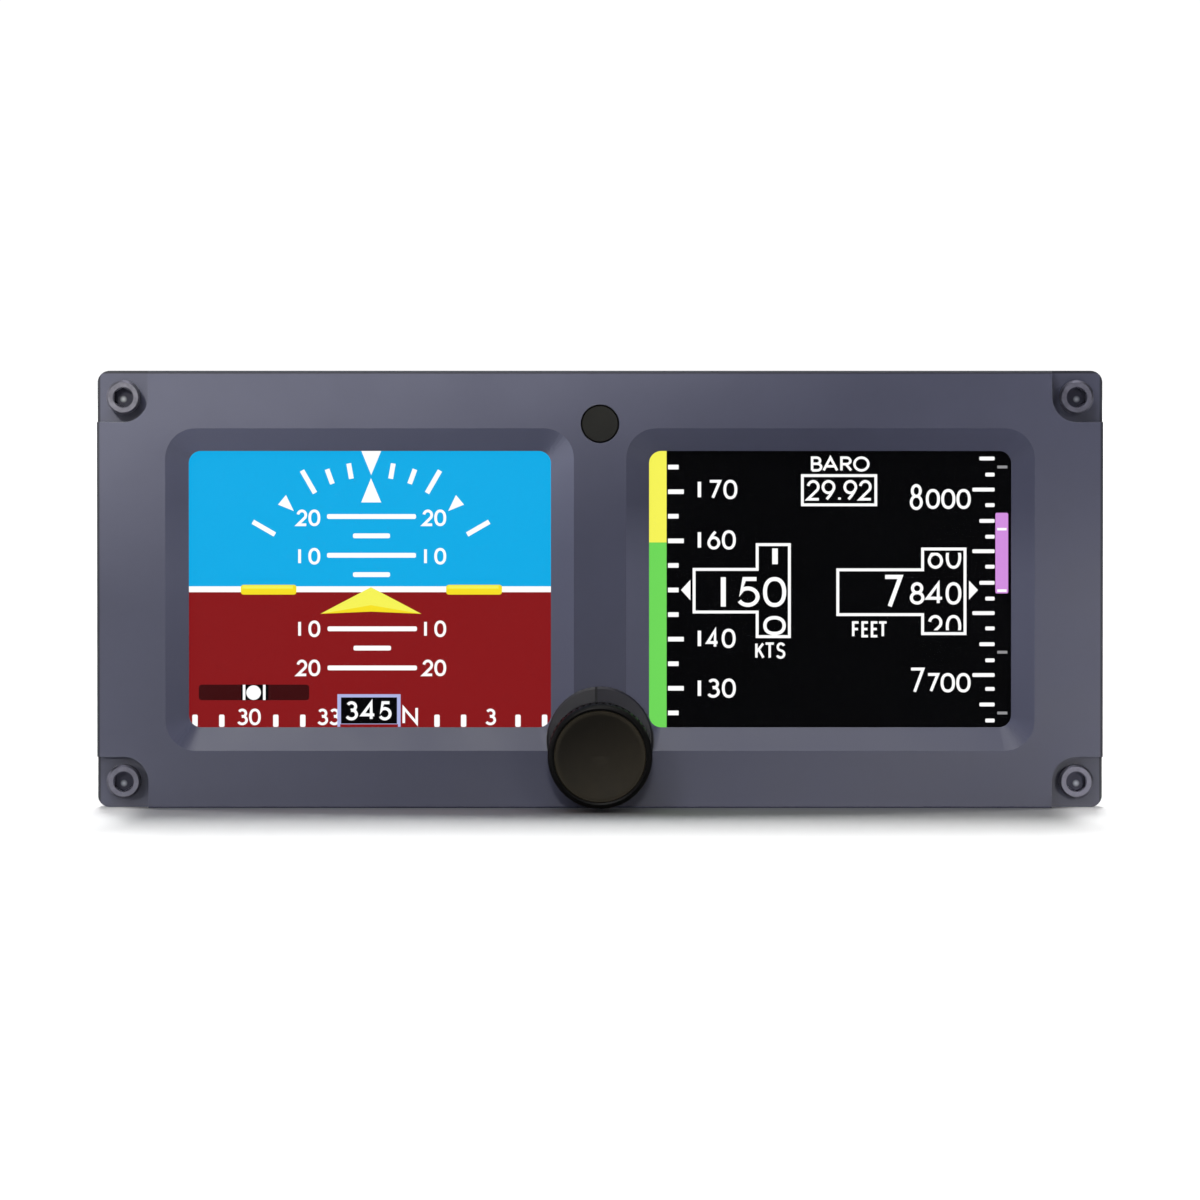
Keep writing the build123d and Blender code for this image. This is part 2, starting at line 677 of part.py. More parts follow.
# ------------------------------------------------------------------ rear plate
rear_y = case_back + rear_t
with BuildPart() as rear_plate:
    with BuildSketch(front(rear_y)):
        RectangleRounded(case_w, case_h, 1.2)
    extrude(amount=rear_t)
    # tabs that the case screws to
    with BuildSketch(front(case_back)):
        with Locations((-30.0, in_h - 1.25), (30.0, in_h - 1.25)):
            Rectangle(9.0, 2.4)
        with Locations((30.0, -in_h + 1.25)):
            Rectangle(9.0, 2.4)
        with Locations((in_w - 1.25, 15.0), (in_w - 1.25, -14.0), (-in_w + 1.25, 17.0)):
            Rectangle(2.4, 9.0)
    extrude(amount=9.0)
    with BuildSketch(level(in_h)):
        with Locations((-30.0, tab_y), (30.0, tab_y)):
            Circle(1.1)
    extrude(amount=-3.0, mode=Mode.SUBTRACT)
    with BuildSketch(level(-in_h)):
        with Locations((30.0, tab_y)):
            Circle(1.1)
    extrude(amount=3.0, mode=Mode.SUBTRACT)
    with BuildSketch(Plane(origin=(in_w, 0, 0), x_dir=(0, 1, 0), z_dir=(1, 0, 0))):
        with Locations((tab_y, 15.0), (tab_y, -14.0)):
            Circle(1.1)
    extrude(amount=-3.0, mode=Mode.SUBTRACT)
    with BuildSketch(Plane(origin=(-in_w, 0, 0), x_dir=(0, 1, 0), z_dir=(1, 0, 0))):
        with Locations((tab_y, 17.0)):
            Circle(1.1)
    extrude(amount=3.0, mode=Mode.SUBTRACT)
    # openings: battery bay, thumbscrew nuts, connector, ports
    with BuildSketch(front(rear_y)):
        with Locations(((pack_x0 + pack_x1) / 2, (pack_z0 + pack_z1) / 2)):
            RectangleRounded(pack_x1 - pack_x0 + 0.6, pack_z1 - pack_z0 + 0.6, 2.0)
        with Locations((dsub_x, dsub_z)):
            Rectangle(27.0, 10.9)
        with Locations((dsub_x - dsub_pitch / 2, dsub_z), (dsub_x + dsub_pitch / 2, dsub_z)):
            Circle(1.46)
        with Locations(*[(x, port_z) for x in port_xs]):
            Circle(5.0)
    extrude(amount=rear_t, mode=Mode.SUBTRACT)
    # tapped bosses for the battery pack's thumbscrews
    with BuildSketch(front(case_back)):
        with Locations(*[(x, thumb_z) for x in thumb_xs]):
            Circle(3.4)
    extrude(amount=3.2)
    with BuildSketch(front(rear_y)):
        with Locations(*[(x, thumb_z) for x in thumb_xs]):
            Circle(1.45)
    extrude(amount=rear_t + 3.2, mode=Mode.SUBTRACT)
    with BuildSketch(front(rear_y)):
        with Locations(*[(x, thumb_z) for x in thumb_xs]):
            Circle(2.1)
    extrude(amount=0.8, mode=Mode.SUBTRACT)
keep(rear_plate.part, "rear_plate")

# ------------------------------------------------------------------ ports and air lines
hex_af = 14.3
with BuildPart() as port_fittings:
    for x in port_xs:
        with BuildSketch(front(rear_y + 11.2)):
            with Locations((x, port_z)):
                RegularPolygon(hex_af / 2, 6, major_radius=False)
        extrude(amount=10.0)
        with BuildSketch(turned(x, port_z)):
            with BuildLine():
                Polyline(
                    (0, rear_y + 1.3), (4.9, rear_y + 1.3), (4.9, 91.5), (2.6, 91.5),
                    (2.6, 91.0), (2.0, 90.6), (2.0, 85.6), (1.7, 85.2), (0, 85.2), close=True,
                )
            make_face()
        revolve(axis=y_axis(x, port_z))
        with BuildSketch(turned(x, port_z)):
            with BuildLine():
                Polyline(
                    (0, rear_y + 11.2), (4.3, rear_y + 11.2), (4.3, rear_y + 3.2),
                    (1.2, rear_y + 1.4), (1.2, 85.0), (0, 85.0), close=True,
                )
            make_face()
        revolve(axis=y_axis(x, port_z), mode=Mode.SUBTRACT)
keep(port_fittings.part, "port_fittings")

with BuildPart() as port_seals:
    for x in port_xs:
        with BuildSketch(front(rear_y + 1.2)):
            with Locations((x, port_z)):
                Circle(6.9)
                Circle(4.95, mode=Mode.SUBTRACT)
        extrude(amount=1.2)
keep(port_seals.part, "port_seals")

with BuildPart() as port_nuts:
    for x in port_xs:
        with BuildSketch(front(case_back)):
            with Locations((x, port_z)):
                RegularPolygon(7.0, 6, major_radius=False)
                Circle(4.95, mode=Mode.SUBTRACT)
        extrude(amount=4.5)
keep(port_nuts.part, "port_nuts")

with BuildPart() as air_hoses:
    for x in port_xs:
        with BuildSketch(front(90.4)):
            with Locations((x, port_z)):
                Circle(3.3)
                Circle(2.05, mode=Mode.SUBTRACT)
        extrude(amount=14.0)
keep(air_hoses.part, "air_hoses")

sensor_board_z = -4.0
with BuildPart() as pressure_transducers:
    for x in port_xs:
        with BuildSketch(front(76.0)):
            with Locations((x, port_z)):
                Circle(9.0)
            with Locations((x, (sensor_board_z + 1.6 + port_z) / 2)):
                Rectangle(13.0, port_z - sensor_board_z - 1.6)
        extrude(amount=13.0)
        with BuildSketch(front(84.8)):
            with Locations((x, port_z)):
                Circle(2.0)
        extrude(amount=8.8)
        with BuildSketch(front(84.8)):
            with Locations((x, port_z)):
                Circle(1.0)
        extrude(amount=12.0, mode=Mode.SUBTRACT)
keep(pressure_transducers.part, "pressure_transducers")

# ------------------------------------------------------------------ signal connector
def d_outline(w, h):
    """Corner points of a D-shaped connector outline with 10 degree ends."""
    slope = h / 2 * math.tan(math.radians(10))
    return [(-w / 2, h / 2), (w / 2, h / 2), (w / 2 - 2 * slope, -h / 2), (-w / 2 + 2 * slope, -h / 2)]


with BuildPart() as connector_shell:
    with BuildSketch(front(rear_y + 1.0)):
        with Locations((dsub_x, dsub_z)):
            RectangleRounded(39.2, 12.5, 1.5)
        with Locations((dsub_x - dsub_pitch / 2, dsub_z), (dsub_x + dsub_pitch / 2, dsub_z)):
            Circle(1.46, mode=Mode.SUBTRACT)
    extrude(amount=1.0)
    with BuildSketch(front(rear_y + 6.9)):
        with Locations((dsub_x, dsub_z)):
            Polygon(*d_outline(25.0, 8.4), align=None)
    extrude(amount=5.9)
    fillet(
        connector_shell.edges().filter_by(Axis.Y).filter_by(
            lambda e: e.length > 5.0 and abs(e.center().X - dsub_x) < 14
        ),
        2.0,
    )
    with BuildSketch(front(rear_y + 6.9)):
        with Locations((dsub_x, dsub_z)):
            Polygon(*d_outline(23.9, 7.4), align=None)
    extrude(amount=6.9, mode=Mode.SUBTRACT)
keep(connector_shell.part, "connector_shell")

pin_spots = [(-9.695 + 2.77 * i, 1.42) for i in range(8)] + [(-8.31 + 2.77 * i, -1.42) for i in range(7)]
with BuildPart() as connector_insulator:
    with BuildSketch(front(rear_y + 1.6)):
        with Locations((dsub_x, dsub_z)):
            Polygon(*d_outline(23.8, 7.3), align=None)
    extrude(amount=1.7)
    with BuildSketch(front(rear_y - 0.1)):
        with Locations((dsub_x, dsub_z)):
            Rectangle(25.4, 10.4)
    extrude(amount=8.0)
    with BuildSketch(front(rear_y + 1.6)):
        with Locations(*[(dsub_x + px, dsub_z + pz) for px, pz in pin_spots]):
            Circle(0.52)
    extrude(amount=9.7, mode=Mode.SUBTRACT)
keep(connector_insulator.part, "connector_insulator")

with BuildPart() as connector_pins:
    for px, pz in pin_spots:
        x, z = dsub_x + px, dsub_z + pz
        bend_y = 91.0 if pz > 0 else 92.6
        with BuildSketch(front(rear_y + 6.3)):
            with Locations((x, z)):
                Circle(0.5)
        extrude(amount=rear_y + 6.3 - bend_y)
        with BuildSketch(level(-20.38)):
            with Locations((x, bend_y)):
                Circle(0.35)
        extrude(amount=z + 20.38)
keep(connector_pins.part, "connector_pins")

with BuildPart() as connector_screwlocks:
    for side in (-1, 1):
        x = dsub_x + side * dsub_pitch / 2
        with BuildSketch(front(rear_y + 6.0)):
            with Locations((x, dsub_z)):
                RegularPolygon(2.38, 6, major_radius=False)
        extrude(amount=5.0)
        with BuildSketch(front(rear_y + 1.0)):
            with Locations((x, dsub_z)):
                Circle(1.42)
        extrude(amount=6.0)
        with BuildSketch(front(rear_y + 6.0)):
            with Locations((x, dsub_z)):
                Circle(1.15)
        extrude(amount=4.5, mode=Mode.SUBTRACT)
keep(connector_screwlocks.part, "connector_screwlocks")

# ------------------------------------------------------------------ boards
with BuildPart() as display_board:
    with BuildSketch(front(front_board_y + board_t)):
        Rectangle(board_w, board_h)
        with Locations((0, (knob_z - 27.0) / 2)):
            Rectangle(7.4, 27.0 + knob_z + 0.0, mode=Mode.SUBTRACT)
        with Locations((0, knob_z)):
            Circle(3.7, mode=Mode.SUBTRACT)
        with GridLocations(96, 48.6, 2, 2):
            Circle(1.2, mode=Mode.SUBTRACT)
    extrude(amount=board_t)
keep(display_board.part, "display_board")

with BuildPart() as board_standoffs:
    for x in (-48.0, 48.0):
        for z in (-24.3, 24.3):
            with BuildSketch(front(main_board_y)):
                with Locations((x, z)):
                    RegularPolygon(2.4, 6, major_radius=False)
            extrude(amount=main_board_y - front_board_y - board_t)
            with BuildSketch(front(front_board_y + board_t)):
                with Locations((x, z)):
                    Circle(1.0)
            extrude(amount=board_t + 2.6)
            with BuildSketch(front(main_board_y)):
                with Locations((x, z)):
                    Circle(1.0)
            extrude(amount=5.0, mode=Mode.SUBTRACT)
keep(board_standoffs.part, "board_standoffs")

with BuildPart() as main_board:
    with BuildSketch(front(main_board_y + board_t)):
        Rectangle(board_w, board_h)
        with GridLocations(96, 48.6, 2, 2):
            Circle(1.2, mode=Mode.SUBTRACT)
    extrude(amount=board_t)
keep(main_board.part, "main_board")

with BuildPart() as board_screws:
    for x in (-48.0, 48.0):
        for z in (-24.3, 24.3):
            y0 = main_board_y + board_t
            with BuildSketch(turned(x, z)):
                with BuildLine():
                    Polyline(
                        (0, y0 + 1.4), (1.6, y0 + 1.4), (2.0, y0 + 1.0), (2.0, y0),
                        (0.97, y0), (0.97, y0 - 5.8), (0, y0 - 5.8), close=True,
                    )
                make_face()
            revolve(axis=y_axis(x, z))
keep(board_screws.part, "board_screws")

with BuildPart() as board_connectors:
    for cx in (-26.0, 26.0):
        with BuildSketch(front(main_board_y)):
            with Locations((cx, 14.0)):
                RectangleRounded(30.0, 5.4, 0.5)
        extrude(amount=main_board_y - front_board_y - board_t)
keep(board_connectors.part, "board_connectors")

with BuildPart() as main_board_chips:
    y0 = main_board_y + board_t
    with BuildSketch(front(y0 + 1.4)):
        with Locations((12.0, 4.0)):
            Rectangle(16.0, 16.0)
        with Locations((34.0, 10.0), (34.0, -4.0)):
            Rectangle(12.0, 9.0)
        with Locations((-14.0, 15.0)):
            Rectangle(10.0, 10.0)
        with Locations((-40.0, 16.0), (-28.0, 16.0)):
            Rectangle(6.0, 8.0)
        with Locations((14.0, -16.0)):
            Rectangle(9.0, 7.0)
    extrude(amount=1.4)
keep(main_board_chips.part, "main_board_chips")

power_board_z = -22.0
post_spots = [(9.0, 30.0), (56.0, 30.0), (9.0, 82.0), (56.0, 82.0)]
with BuildPart() as power_board:
    with BuildSketch(level(power_board_z)):
        with Locations((31.5, 60.0)):
            Rectangle(57.0, 68.0)
        with Locations(*post_spots):
            Circle(1.3, mode=Mode.SUBTRACT)
    extrude(amount=1.6)
keep(power_board.part, "power_board")

with BuildPart() as power_board_parts:
    with BuildSketch(level(power_board_z + 1.6)):
        with Locations((20.0, 44.0)):
            Circle(7.5)
            Circle(2.8, mode=Mode.SUBTRACT)
    extrude(amount=8.0)
    with BuildSketch(level(power_board_z + 1.6)):
        with Locations((38.0, 38.0), (38.0, 52.0), (49.0, 45.0)):
            Circle(4.6)
    extrude(amount=11.5)
    with BuildSketch(level(power_board_z + 1.6)):
        with Locations((22.0, 68.0)):
            Rectangle(18.0, 14.0)
        with Locations((44.0, 68.0)):
            Rectangle(12.0, 12.0)
    extrude(amount=6.0)
keep(power_board_parts.part, "power_board_parts")

with BuildPart() as power_board_posts:
    with BuildSketch(level(-in_h)):
        with Locations(*post_spots):
            RegularPolygon(2.75, 6, major_radius=False)
    extrude(amount=power_board_z + in_h)
    with BuildSketch(level(power_board_z)):
        with Locations(*post_spots):
            Circle(1.2)
    extrude(amount=1.6)
    with BuildSketch(level(power_board_z + 1.6)):
        with Locations(*post_spots):
            RegularPolygon(2.75, 6, major_radius=False)
    extrude(amount=sensor_board_z - power_board_z - 1.6)
    with BuildSketch(level(sensor_board_z)):
        with Locations(*post_spots):
            Circle(1.2)
    extrude(amount=1.6)
    with BuildSketch(level(sensor_board_z + 1.6)):
        with Locations(*post_spots):
            Circle(2.3)
    extrude(amount=1.4)
keep(power_board_posts.part, "sensor_stack_posts")

with BuildPart() as sensor_board:
    with BuildSketch(level(sensor_board_z)):
        with Locations((31.5, 56.0)):
            Rectangle(57.0, 60.0)
        with Locations(*post_spots):
            Circle(1.3, mode=Mode.SUBTRACT)
    extrude(amount=1.6)
keep(sensor_board.part, "sensor_board")

with BuildPart() as inertial_sensor:
    with BuildSketch(level(sensor_board_z + 1.6)):
        with Locations((32.5, 45.0)):
            RectangleRounded(34.0, 24.0, 2.0)
    extrude(amount=14.0)
    chamfer(inertial_sensor.faces().sort_by(Axis.Z)[-1].edges(), 0.8)
    with BuildSketch(level(sensor_board_z + 1.6)):
        with Locations((32.5, 45.0)):
            with GridLocations(40.0, 16.0, 2, 2):
                RectangleRounded(6.0, 6.0, 1.5)
    extrude(amount=2.0)
    with BuildSketch(level(sensor_board_z + 1.6)):
        with Locations((32.5, 45.0)):
            with GridLocations(41.0, 16.0, 2, 2):
                Circle(1.1)
    extrude(amount=2.0, mode=Mode.SUBTRACT)
keep(inertial_sensor.part, "inertial_sensor")

# ------------------------------------------------------------------ battery bay and pack
with BuildPart() as battery_bay:
    with BuildSketch(front(case_back)):
        with Locations(((bay_x0 + bay_x1) / 2, (bay_z0 + bay_z1) / 2)):
            Rectangle(bay_x1 - bay_x0, bay_z1 - bay_z0)
        with Locations(((bay_x0 + bay_x1) / 2, (bay_z0 + 0.6 + bay_z1 - 0.8) / 2)):
            Rectangle(bay_x1 - bay_x0 - 1.6, bay_z1 - bay_z0 - 1.4, mode=Mode.SUBTRACT)
    extrude(amount=case_back - 30.0)
keep(battery_bay.part, "battery_bay")

with BuildPart() as battery_socket:
    with BuildSketch(front(29.9)):
        with Locations((-30.0, -12.0)):
            RectangleRounded(20.0, 9.0, 1.0)
    extrude(amount=29.9 - main_board_y - board_t)
keep(battery_socket.part, "battery_socket")

pack_cx, pack_cz = (pack_x0 + pack_x1) / 2, (pack_z0 + pack_z1) / 2
pack_w, pack_h = pack_x1 - pack_x0, pack_z1 - pack_z0
with BuildPart() as battery_case:
    with BuildSketch(front(rear_y)):
        with Locations((pack_cx, pack_cz)):
            RectangleRounded(pack_w, pack_h, 2.0)
    extrude(amount=rear_y - pack_front)
    with BuildSketch(front(rear_y)):
        with Locations((pack_cx, pack_cz)):
            RectangleRounded(pack_w - 2.4, pack_h - 2.4, 1.2)
    extrude(amount=rear_y - pack_front - 1.5, mode=Mode.SUBTRACT)
keep(battery_case.part, "battery_case")

cells_y = pack_front + 2.0
with BuildPart() as battery_cells:
    for side in (-1, 1):
        x = pack_cx + side * (cell_r + 0.06)
        with BuildSketch(turned(x, pack_cz)):
            with BuildLine():
                Polyline(
                    (0, cells_y), (3.4, cells_y), (3.4, cells_y + 0.8), (cell_r - 0.8, cells_y + 0.8),
                    (cell_r, cells_y + 1.6), (cell_r, cells_y + cell_len - 0.5),
                    (cell_r - 0.5, cells_y + cell_len), (0, cells_y + cell_len), close=True,
                )
            make_face()
        revolve(axis=y_axis(x, pack_cz))
keep(battery_cells.part, "battery_cells")

with BuildPart() as battery_terminals:
    with BuildSketch(front(pack_front)):
        with Locations(*[(-30.0 + dx, -12.0) for dx in (-6.6, -2.2, 2.2, 6.6)]):
            RectangleRounded(3.2, 5.0, 0.5)
    extrude(amount=1.0)
keep(battery_terminals.part, "battery_terminals")

plate_y = rear_y + plate_t
with BuildPart() as battery_faceplate:
    with BuildSketch(front(plate_y)):
        with Locations(((plate_x0 + plate_x1) / 2, (plate_z0 + plate_z1) / 2)):
            RectangleRounded(plate_x1 - plate_x0, plate_z1 - plate_z0, 2.0)
        with Locations(*[(x, thumb_z) for x in thumb_xs]):
            Circle(2.05, mode=Mode.SUBTRACT)
    extrude(amount=plate_t)
    chamfer(battery_faceplate.faces().sort_by(Axis.Y)[-1].outer_wire().edges(), 0.4)
keep(battery_faceplate.part, "battery_faceplate")

for name, x in zip(("thumbscrew_left", "thumbscrew_right"), thumb_xs):
    with BuildPart() as thumbscrew:
        with BuildSketch(turned(x, thumb_z)):
            with BuildLine():
                Polyline(
                    (0, plate_y + 8.5), (3.9, plate_y + 8.5), (4.5, plate_y + 7.9), (4.5, plate_y + 2.2),
                    (4.0, plate_y + 1.7), (3.0, plate_y + 1.7), (3.0, plate_y + 0.1), (2.0, plate_y + 0.1),
                    (2.0, rear_y + 0.6), (1.4, rear_y), (1.4, 95.4), (1.0, 95.0), (0, 95.0), close=True,
                )
            make_face()
        revolve(axis=y_axis(x, thumb_z))
        with BuildSketch(front(plate_y + 7.6)):
            with Locations((x, thumb_z)):
                with PolarLocations(4.62, 30, start_angle=6.0):
                    Circle(0.3)
        extrude(amount=5.1, mode=Mode.SUBTRACT)
        with BuildSketch(front(plate_y + 8.5)):
            with Locations((x, thumb_z)):
                Rectangle(9.2, 1.0)
        extrude(amount=1.4, mode=Mode.SUBTRACT)
    keep(thumbscrew.part, name)
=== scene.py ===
import math

import bmesh
import bpy
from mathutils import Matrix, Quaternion, Vector
from mathutils.geometry import delaunay_2d_cdt


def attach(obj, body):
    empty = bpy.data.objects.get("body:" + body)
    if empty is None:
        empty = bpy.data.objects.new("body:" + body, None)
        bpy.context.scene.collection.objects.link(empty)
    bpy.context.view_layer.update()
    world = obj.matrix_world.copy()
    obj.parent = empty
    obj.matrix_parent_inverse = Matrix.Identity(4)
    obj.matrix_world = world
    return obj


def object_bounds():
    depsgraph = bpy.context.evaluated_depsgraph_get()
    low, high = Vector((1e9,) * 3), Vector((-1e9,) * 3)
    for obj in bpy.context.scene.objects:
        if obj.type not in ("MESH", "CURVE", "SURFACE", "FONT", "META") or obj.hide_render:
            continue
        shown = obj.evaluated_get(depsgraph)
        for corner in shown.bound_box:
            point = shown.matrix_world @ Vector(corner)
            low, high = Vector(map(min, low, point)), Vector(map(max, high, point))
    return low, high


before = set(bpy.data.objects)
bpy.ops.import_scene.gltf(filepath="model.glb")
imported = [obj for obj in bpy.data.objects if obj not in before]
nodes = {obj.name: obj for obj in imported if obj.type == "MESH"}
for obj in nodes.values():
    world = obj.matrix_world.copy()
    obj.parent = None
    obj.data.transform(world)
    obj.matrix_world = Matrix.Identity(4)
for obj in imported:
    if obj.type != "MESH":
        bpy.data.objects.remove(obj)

cad_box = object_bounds()
MM = 0.001

# ---------------------------------------------------------------- where the camera stands
FACE_Y = -6.35 * MM                 # the bezel's front face
PIXEL = 139.7 / 1006.0 * MM         # one pixel of the 1200 px frame, at the bezel's face
FACE_PY = 589.6                     # where the face's centre stands in the frame
AIM_Z = (FACE_PY - 600.0) * PIXEL
CAM = Vector((0.0, FACE_Y - 1.5, 40.5 * MM))
TILT = math.atan2(CAM.z - AIM_Z, 1.5)
AWAY = math.hypot(1.5, CAM.z - AIM_Z)


def seen(px, py, y):
    """The point at depth y, in metres, that the camera sees at that pixel of the 1200 px frame."""
    a, b = (px - 600.0) * PIXEL / AWAY, (600.0 - py) * PIXEL / AWAY
    t = (y - CAM.y) / (math.cos(TILT) + b * math.sin(TILT))
    return t * a, CAM.z + t * (b * math.cos(TILT) - math.sin(TILT))


def linear(r, g, b):
    """Linear colour of an 8-bit display colour."""
    def one(v):
        v /= 255.0
        return v / 12.92 if v <= 0.04045 else ((v + 0.055) / 1.055) ** 2.4
    return one(r), one(g), one(b)


# ---------------------------------------------------------------- materials
def node(nt, kind, x, y, **values):
    n = nt.nodes.new(kind)
    n.location = (x, y)
    for k, v in values.items():
        if hasattr(n, k):
            setattr(n, k, v)
        else:
            n.inputs[k].default_value = v
    return n


def surface(name, rgb, rough, metal=0.0, grain=0.2, bump=0.1, mottle=9.0, shade=0.06, rough_shade=0.06,
            stretch=(1.0, 1.0, 1.0), wear=None, wear_rgb=None, wear_radius=0.2, spec=0.5, coat=0.0,
            bump_mm=0.02, ior=1.5, scratches=0.0):
    """A finish from nodes: fine grain as bump and roughness, slow mottling in the colour, and worn edges."""
    m = bpy.data.materials.new(name)
    m.use_nodes = True
    nt = m.node_tree
    b = nt.nodes["Principled BSDF"]
    b.inputs["Metallic"].default_value = metal
    b.inputs["Specular IOR Level"].default_value = spec
    b.inputs["IOR"].default_value = ior
    b.inputs["Coat Weight"].default_value = coat
    tc = node(nt, "ShaderNodeTexCoord", -1500, 0)
    mp = node(nt, "ShaderNodeMapping", -1300, 0)
    mp.inputs["Scale"].default_value = stretch
    nt.links.new(tc.outputs["Object"], mp.inputs["Vector"])
    fine = node(nt, "ShaderNodeTexNoise", -1050, -250, Scale=1000.0 / grain, Detail=3.0, Roughness=0.6)
    slow = node(nt, "ShaderNodeTexNoise", -1050, 150, Scale=1000.0 / mottle, Detail=5.0, Roughness=0.62)
    nt.links.new(mp.outputs["Vector"], fine.inputs["Vector"])
    nt.links.new(mp.outputs["Vector"], slow.inputs["Vector"])
    mix = node(nt, "ShaderNodeMix", -600, 200, data_type="RGBA")
    lo = [max(0.0, c * (1 - shade)) for c in rgb] + [1.0]
    hi = [min(1.0, c * (1 + shade)) for c in rgb] + [1.0]
    mix.inputs[6].default_value = lo
    mix.inputs[7].default_value = hi
    spread = node(nt, "ShaderNodeMapRange", -820, 200)
    spread.inputs["From Min"].default_value = 0.3
    spread.inputs["From Max"].default_value = 0.7
    nt.links.new(slow.outputs["Fac"], spread.inputs["Value"])
    nt.links.new(spread.outputs["Result"], mix.inputs[0])
    colour = mix.outputs[2]
    rg = node(nt, "ShaderNodeMapRange", -600, -60)
    rg.inputs["From Min"].default_value = 0.3
    rg.inputs["From Max"].default_value = 0.7
    rg.inputs["To Min"].default_value = max(0.02, rough - rough_shade)
    rg.inputs["To Max"].default_value = min(1.0, rough + rough_shade)
    nt.links.new(slow.outputs["Fac"], rg.inputs["Value"])
    rough_out = rg.outputs["Result"]
    bp = node(nt, "ShaderNodeBump", -350, -350, Strength=bump, Distance=bump_mm * MM)
    nt.links.new(fine.outputs["Fac"], bp.inputs["Height"])
    height = fine.outputs["Fac"]
    if scratches:
        # hairlines: a stretched noise cut to thin lines
        sm = node(nt, "ShaderNodeMapping", -1300, -600)
        sm.inputs["Scale"].default_value = (1.0, 0.06, 0.7)
        sm.inputs["Rotation"].default_value = (0.5, 0.3, 0.7)
        sn = node(nt, "ShaderNodeTexNoise", -1050, -600, Scale=1400.0, Detail=2.0, Roughness=0.5)
        nt.links.new(tc.outputs["Object"], sm.inputs["Vector"])
        nt.links.new(sm.outputs["Vector"], sn.inputs["Vector"])
        cut = node(nt, "ShaderNodeMapRange", -820, -600)
        cut.inputs["From Min"].default_value = 0.66
        cut.inputs["From Max"].default_value = 0.74
        cut.inputs["To Max"].default_value = scratches
        nt.links.new(sn.outputs["Fac"], cut.inputs["Value"])
        add = node(nt, "ShaderNodeMath", -350, -60, operation="ADD", use_clamp=True)
        nt.links.new(rough_out, add.inputs[0])
        nt.links.new(cut.outputs["Result"], add.inputs[1])
        rough_out = add.outputs[0]
    if wear:
        bev = node(nt, "ShaderNodeBevel", -1050, 520, samples=4)
        bev.inputs["Radius"].default_value = wear_radius * MM
        geo = node(nt, "ShaderNodeNewGeometry", -1050, 720)
        dot = node(nt, "ShaderNodeVectorMath", -820, 600, operation="DOT_PRODUCT")
        nt.links.new(bev.outputs["Normal"], dot.inputs[0])
        nt.links.new(geo.outputs["Normal"], dot.inputs[1])
        edge = node(nt, "ShaderNodeMapRange", -600, 600)
        edge.inputs["From Min"].default_value = 0.995
        edge.inputs["From Max"].default_value = 0.86
        nt.links.new(dot.outputs["Value"], edge.inputs["Value"])
        patch = node(nt, "ShaderNodeTexNoise", -820, 420, Scale=420.0, Detail=4.0, Roughness=0.7)
        nt.links.new(tc.outputs["Object"], patch.inputs["Vector"])
        gate = node(nt, "ShaderNodeMapRange", -600, 420)
        gate.inputs["From Min"].default_value = 0.42
        gate.inputs["From Max"].default_value = 0.62
        gate.inputs["To Max"].default_value = wear
        nt.links.new(patch.outputs["Fac"], gate.inputs["Value"])
        both = node(nt, "ShaderNodeMath", -400, 520, operation="MULTIPLY", use_clamp=True)
        nt.links.new(edge.outputs["Result"], both.inputs[0])
        nt.links.new(gate.outputs["Result"], both.inputs[1])
        over = node(nt, "ShaderNodeMix", -220, 300, data_type="RGBA")
        nt.links.new(both.outputs[0], over.inputs[0])
        nt.links.new(colour, over.inputs[6])
        over.inputs[7].default_value = list(wear_rgb or [min(1.0, c * 2.2 + 0.03) for c in rgb]) + [1.0]
        colour = over.outputs[2]
    nt.links.new(colour, b.inputs["Base Color"])
    nt.links.new(rough_out, b.inputs["Roughness"])
    nt.links.new(bp.outputs["Normal"], b.inputs["Normal"])
    return m


def glow(name, rgb8, strength=1.13, rough=0.35):
    """A lit part of a display picture: its light is the colour, over a dark base with a fine pixel grain."""
    rgb = linear(*rgb8)
    m = surface(name, [c * 0.02 + 0.001 for c in rgb], rough, grain=0.12, bump=0.04, mottle=3.0, shade=0.2, spec=0.0)
    b = m.node_tree.nodes["Principled BSDF"]
    b.inputs["Emission Color"].default_value = (*rgb, 1.0)
    b.inputs["Emission Strength"].default_value = strength
    return m


bezel_paint = surface("bezel_paint", (0.0455, 0.0480, 0.083), 0.42, grain=0.22, bump=0.10, mottle=14.0, shade=0.05,
                      rough_shade=0.05, wear=0.35, wear_rgb=(0.20, 0.21, 0.25), wear_radius=0.18, spec=0.32)
case_paint = surface("case_coating", (0.030, 0.031, 0.034), 0.52, grain=0.35, bump=0.22, mottle=18.0, shade=0.10,
                     rough_shade=0.07, wear=0.6, wear_rgb=(0.30, 0.30, 0.31), wear_radius=0.22, bump_mm=0.03)
steel_dull = surface("fastener_steel", (0.16, 0.16, 0.19), 0.38, metal=0.85, grain=0.12, bump=0.15, mottle=1.5,
                     shade=0.15, rough_shade=0.08, wear=0.5, wear_rgb=(0.45, 0.45, 0.48), wear_radius=0.08)
panel_steel = surface("panel_screw_steel", (0.088, 0.087, 0.114), 0.42, metal=0.85, grain=0.12, bump=0.15, mottle=1.2,
                      shade=0.22, rough_shade=0.09, wear=0.4, wear_rgb=(0.20, 0.20, 0.23), wear_radius=0.08)
steel_bright = surface("bright_steel", (0.52, 0.52, 0.53), 0.30, metal=1.0, grain=0.10, bump=0.12, mottle=2.0,
                       shade=0.12, rough_shade=0.10, stretch=(1.0, 0.2, 1.0))
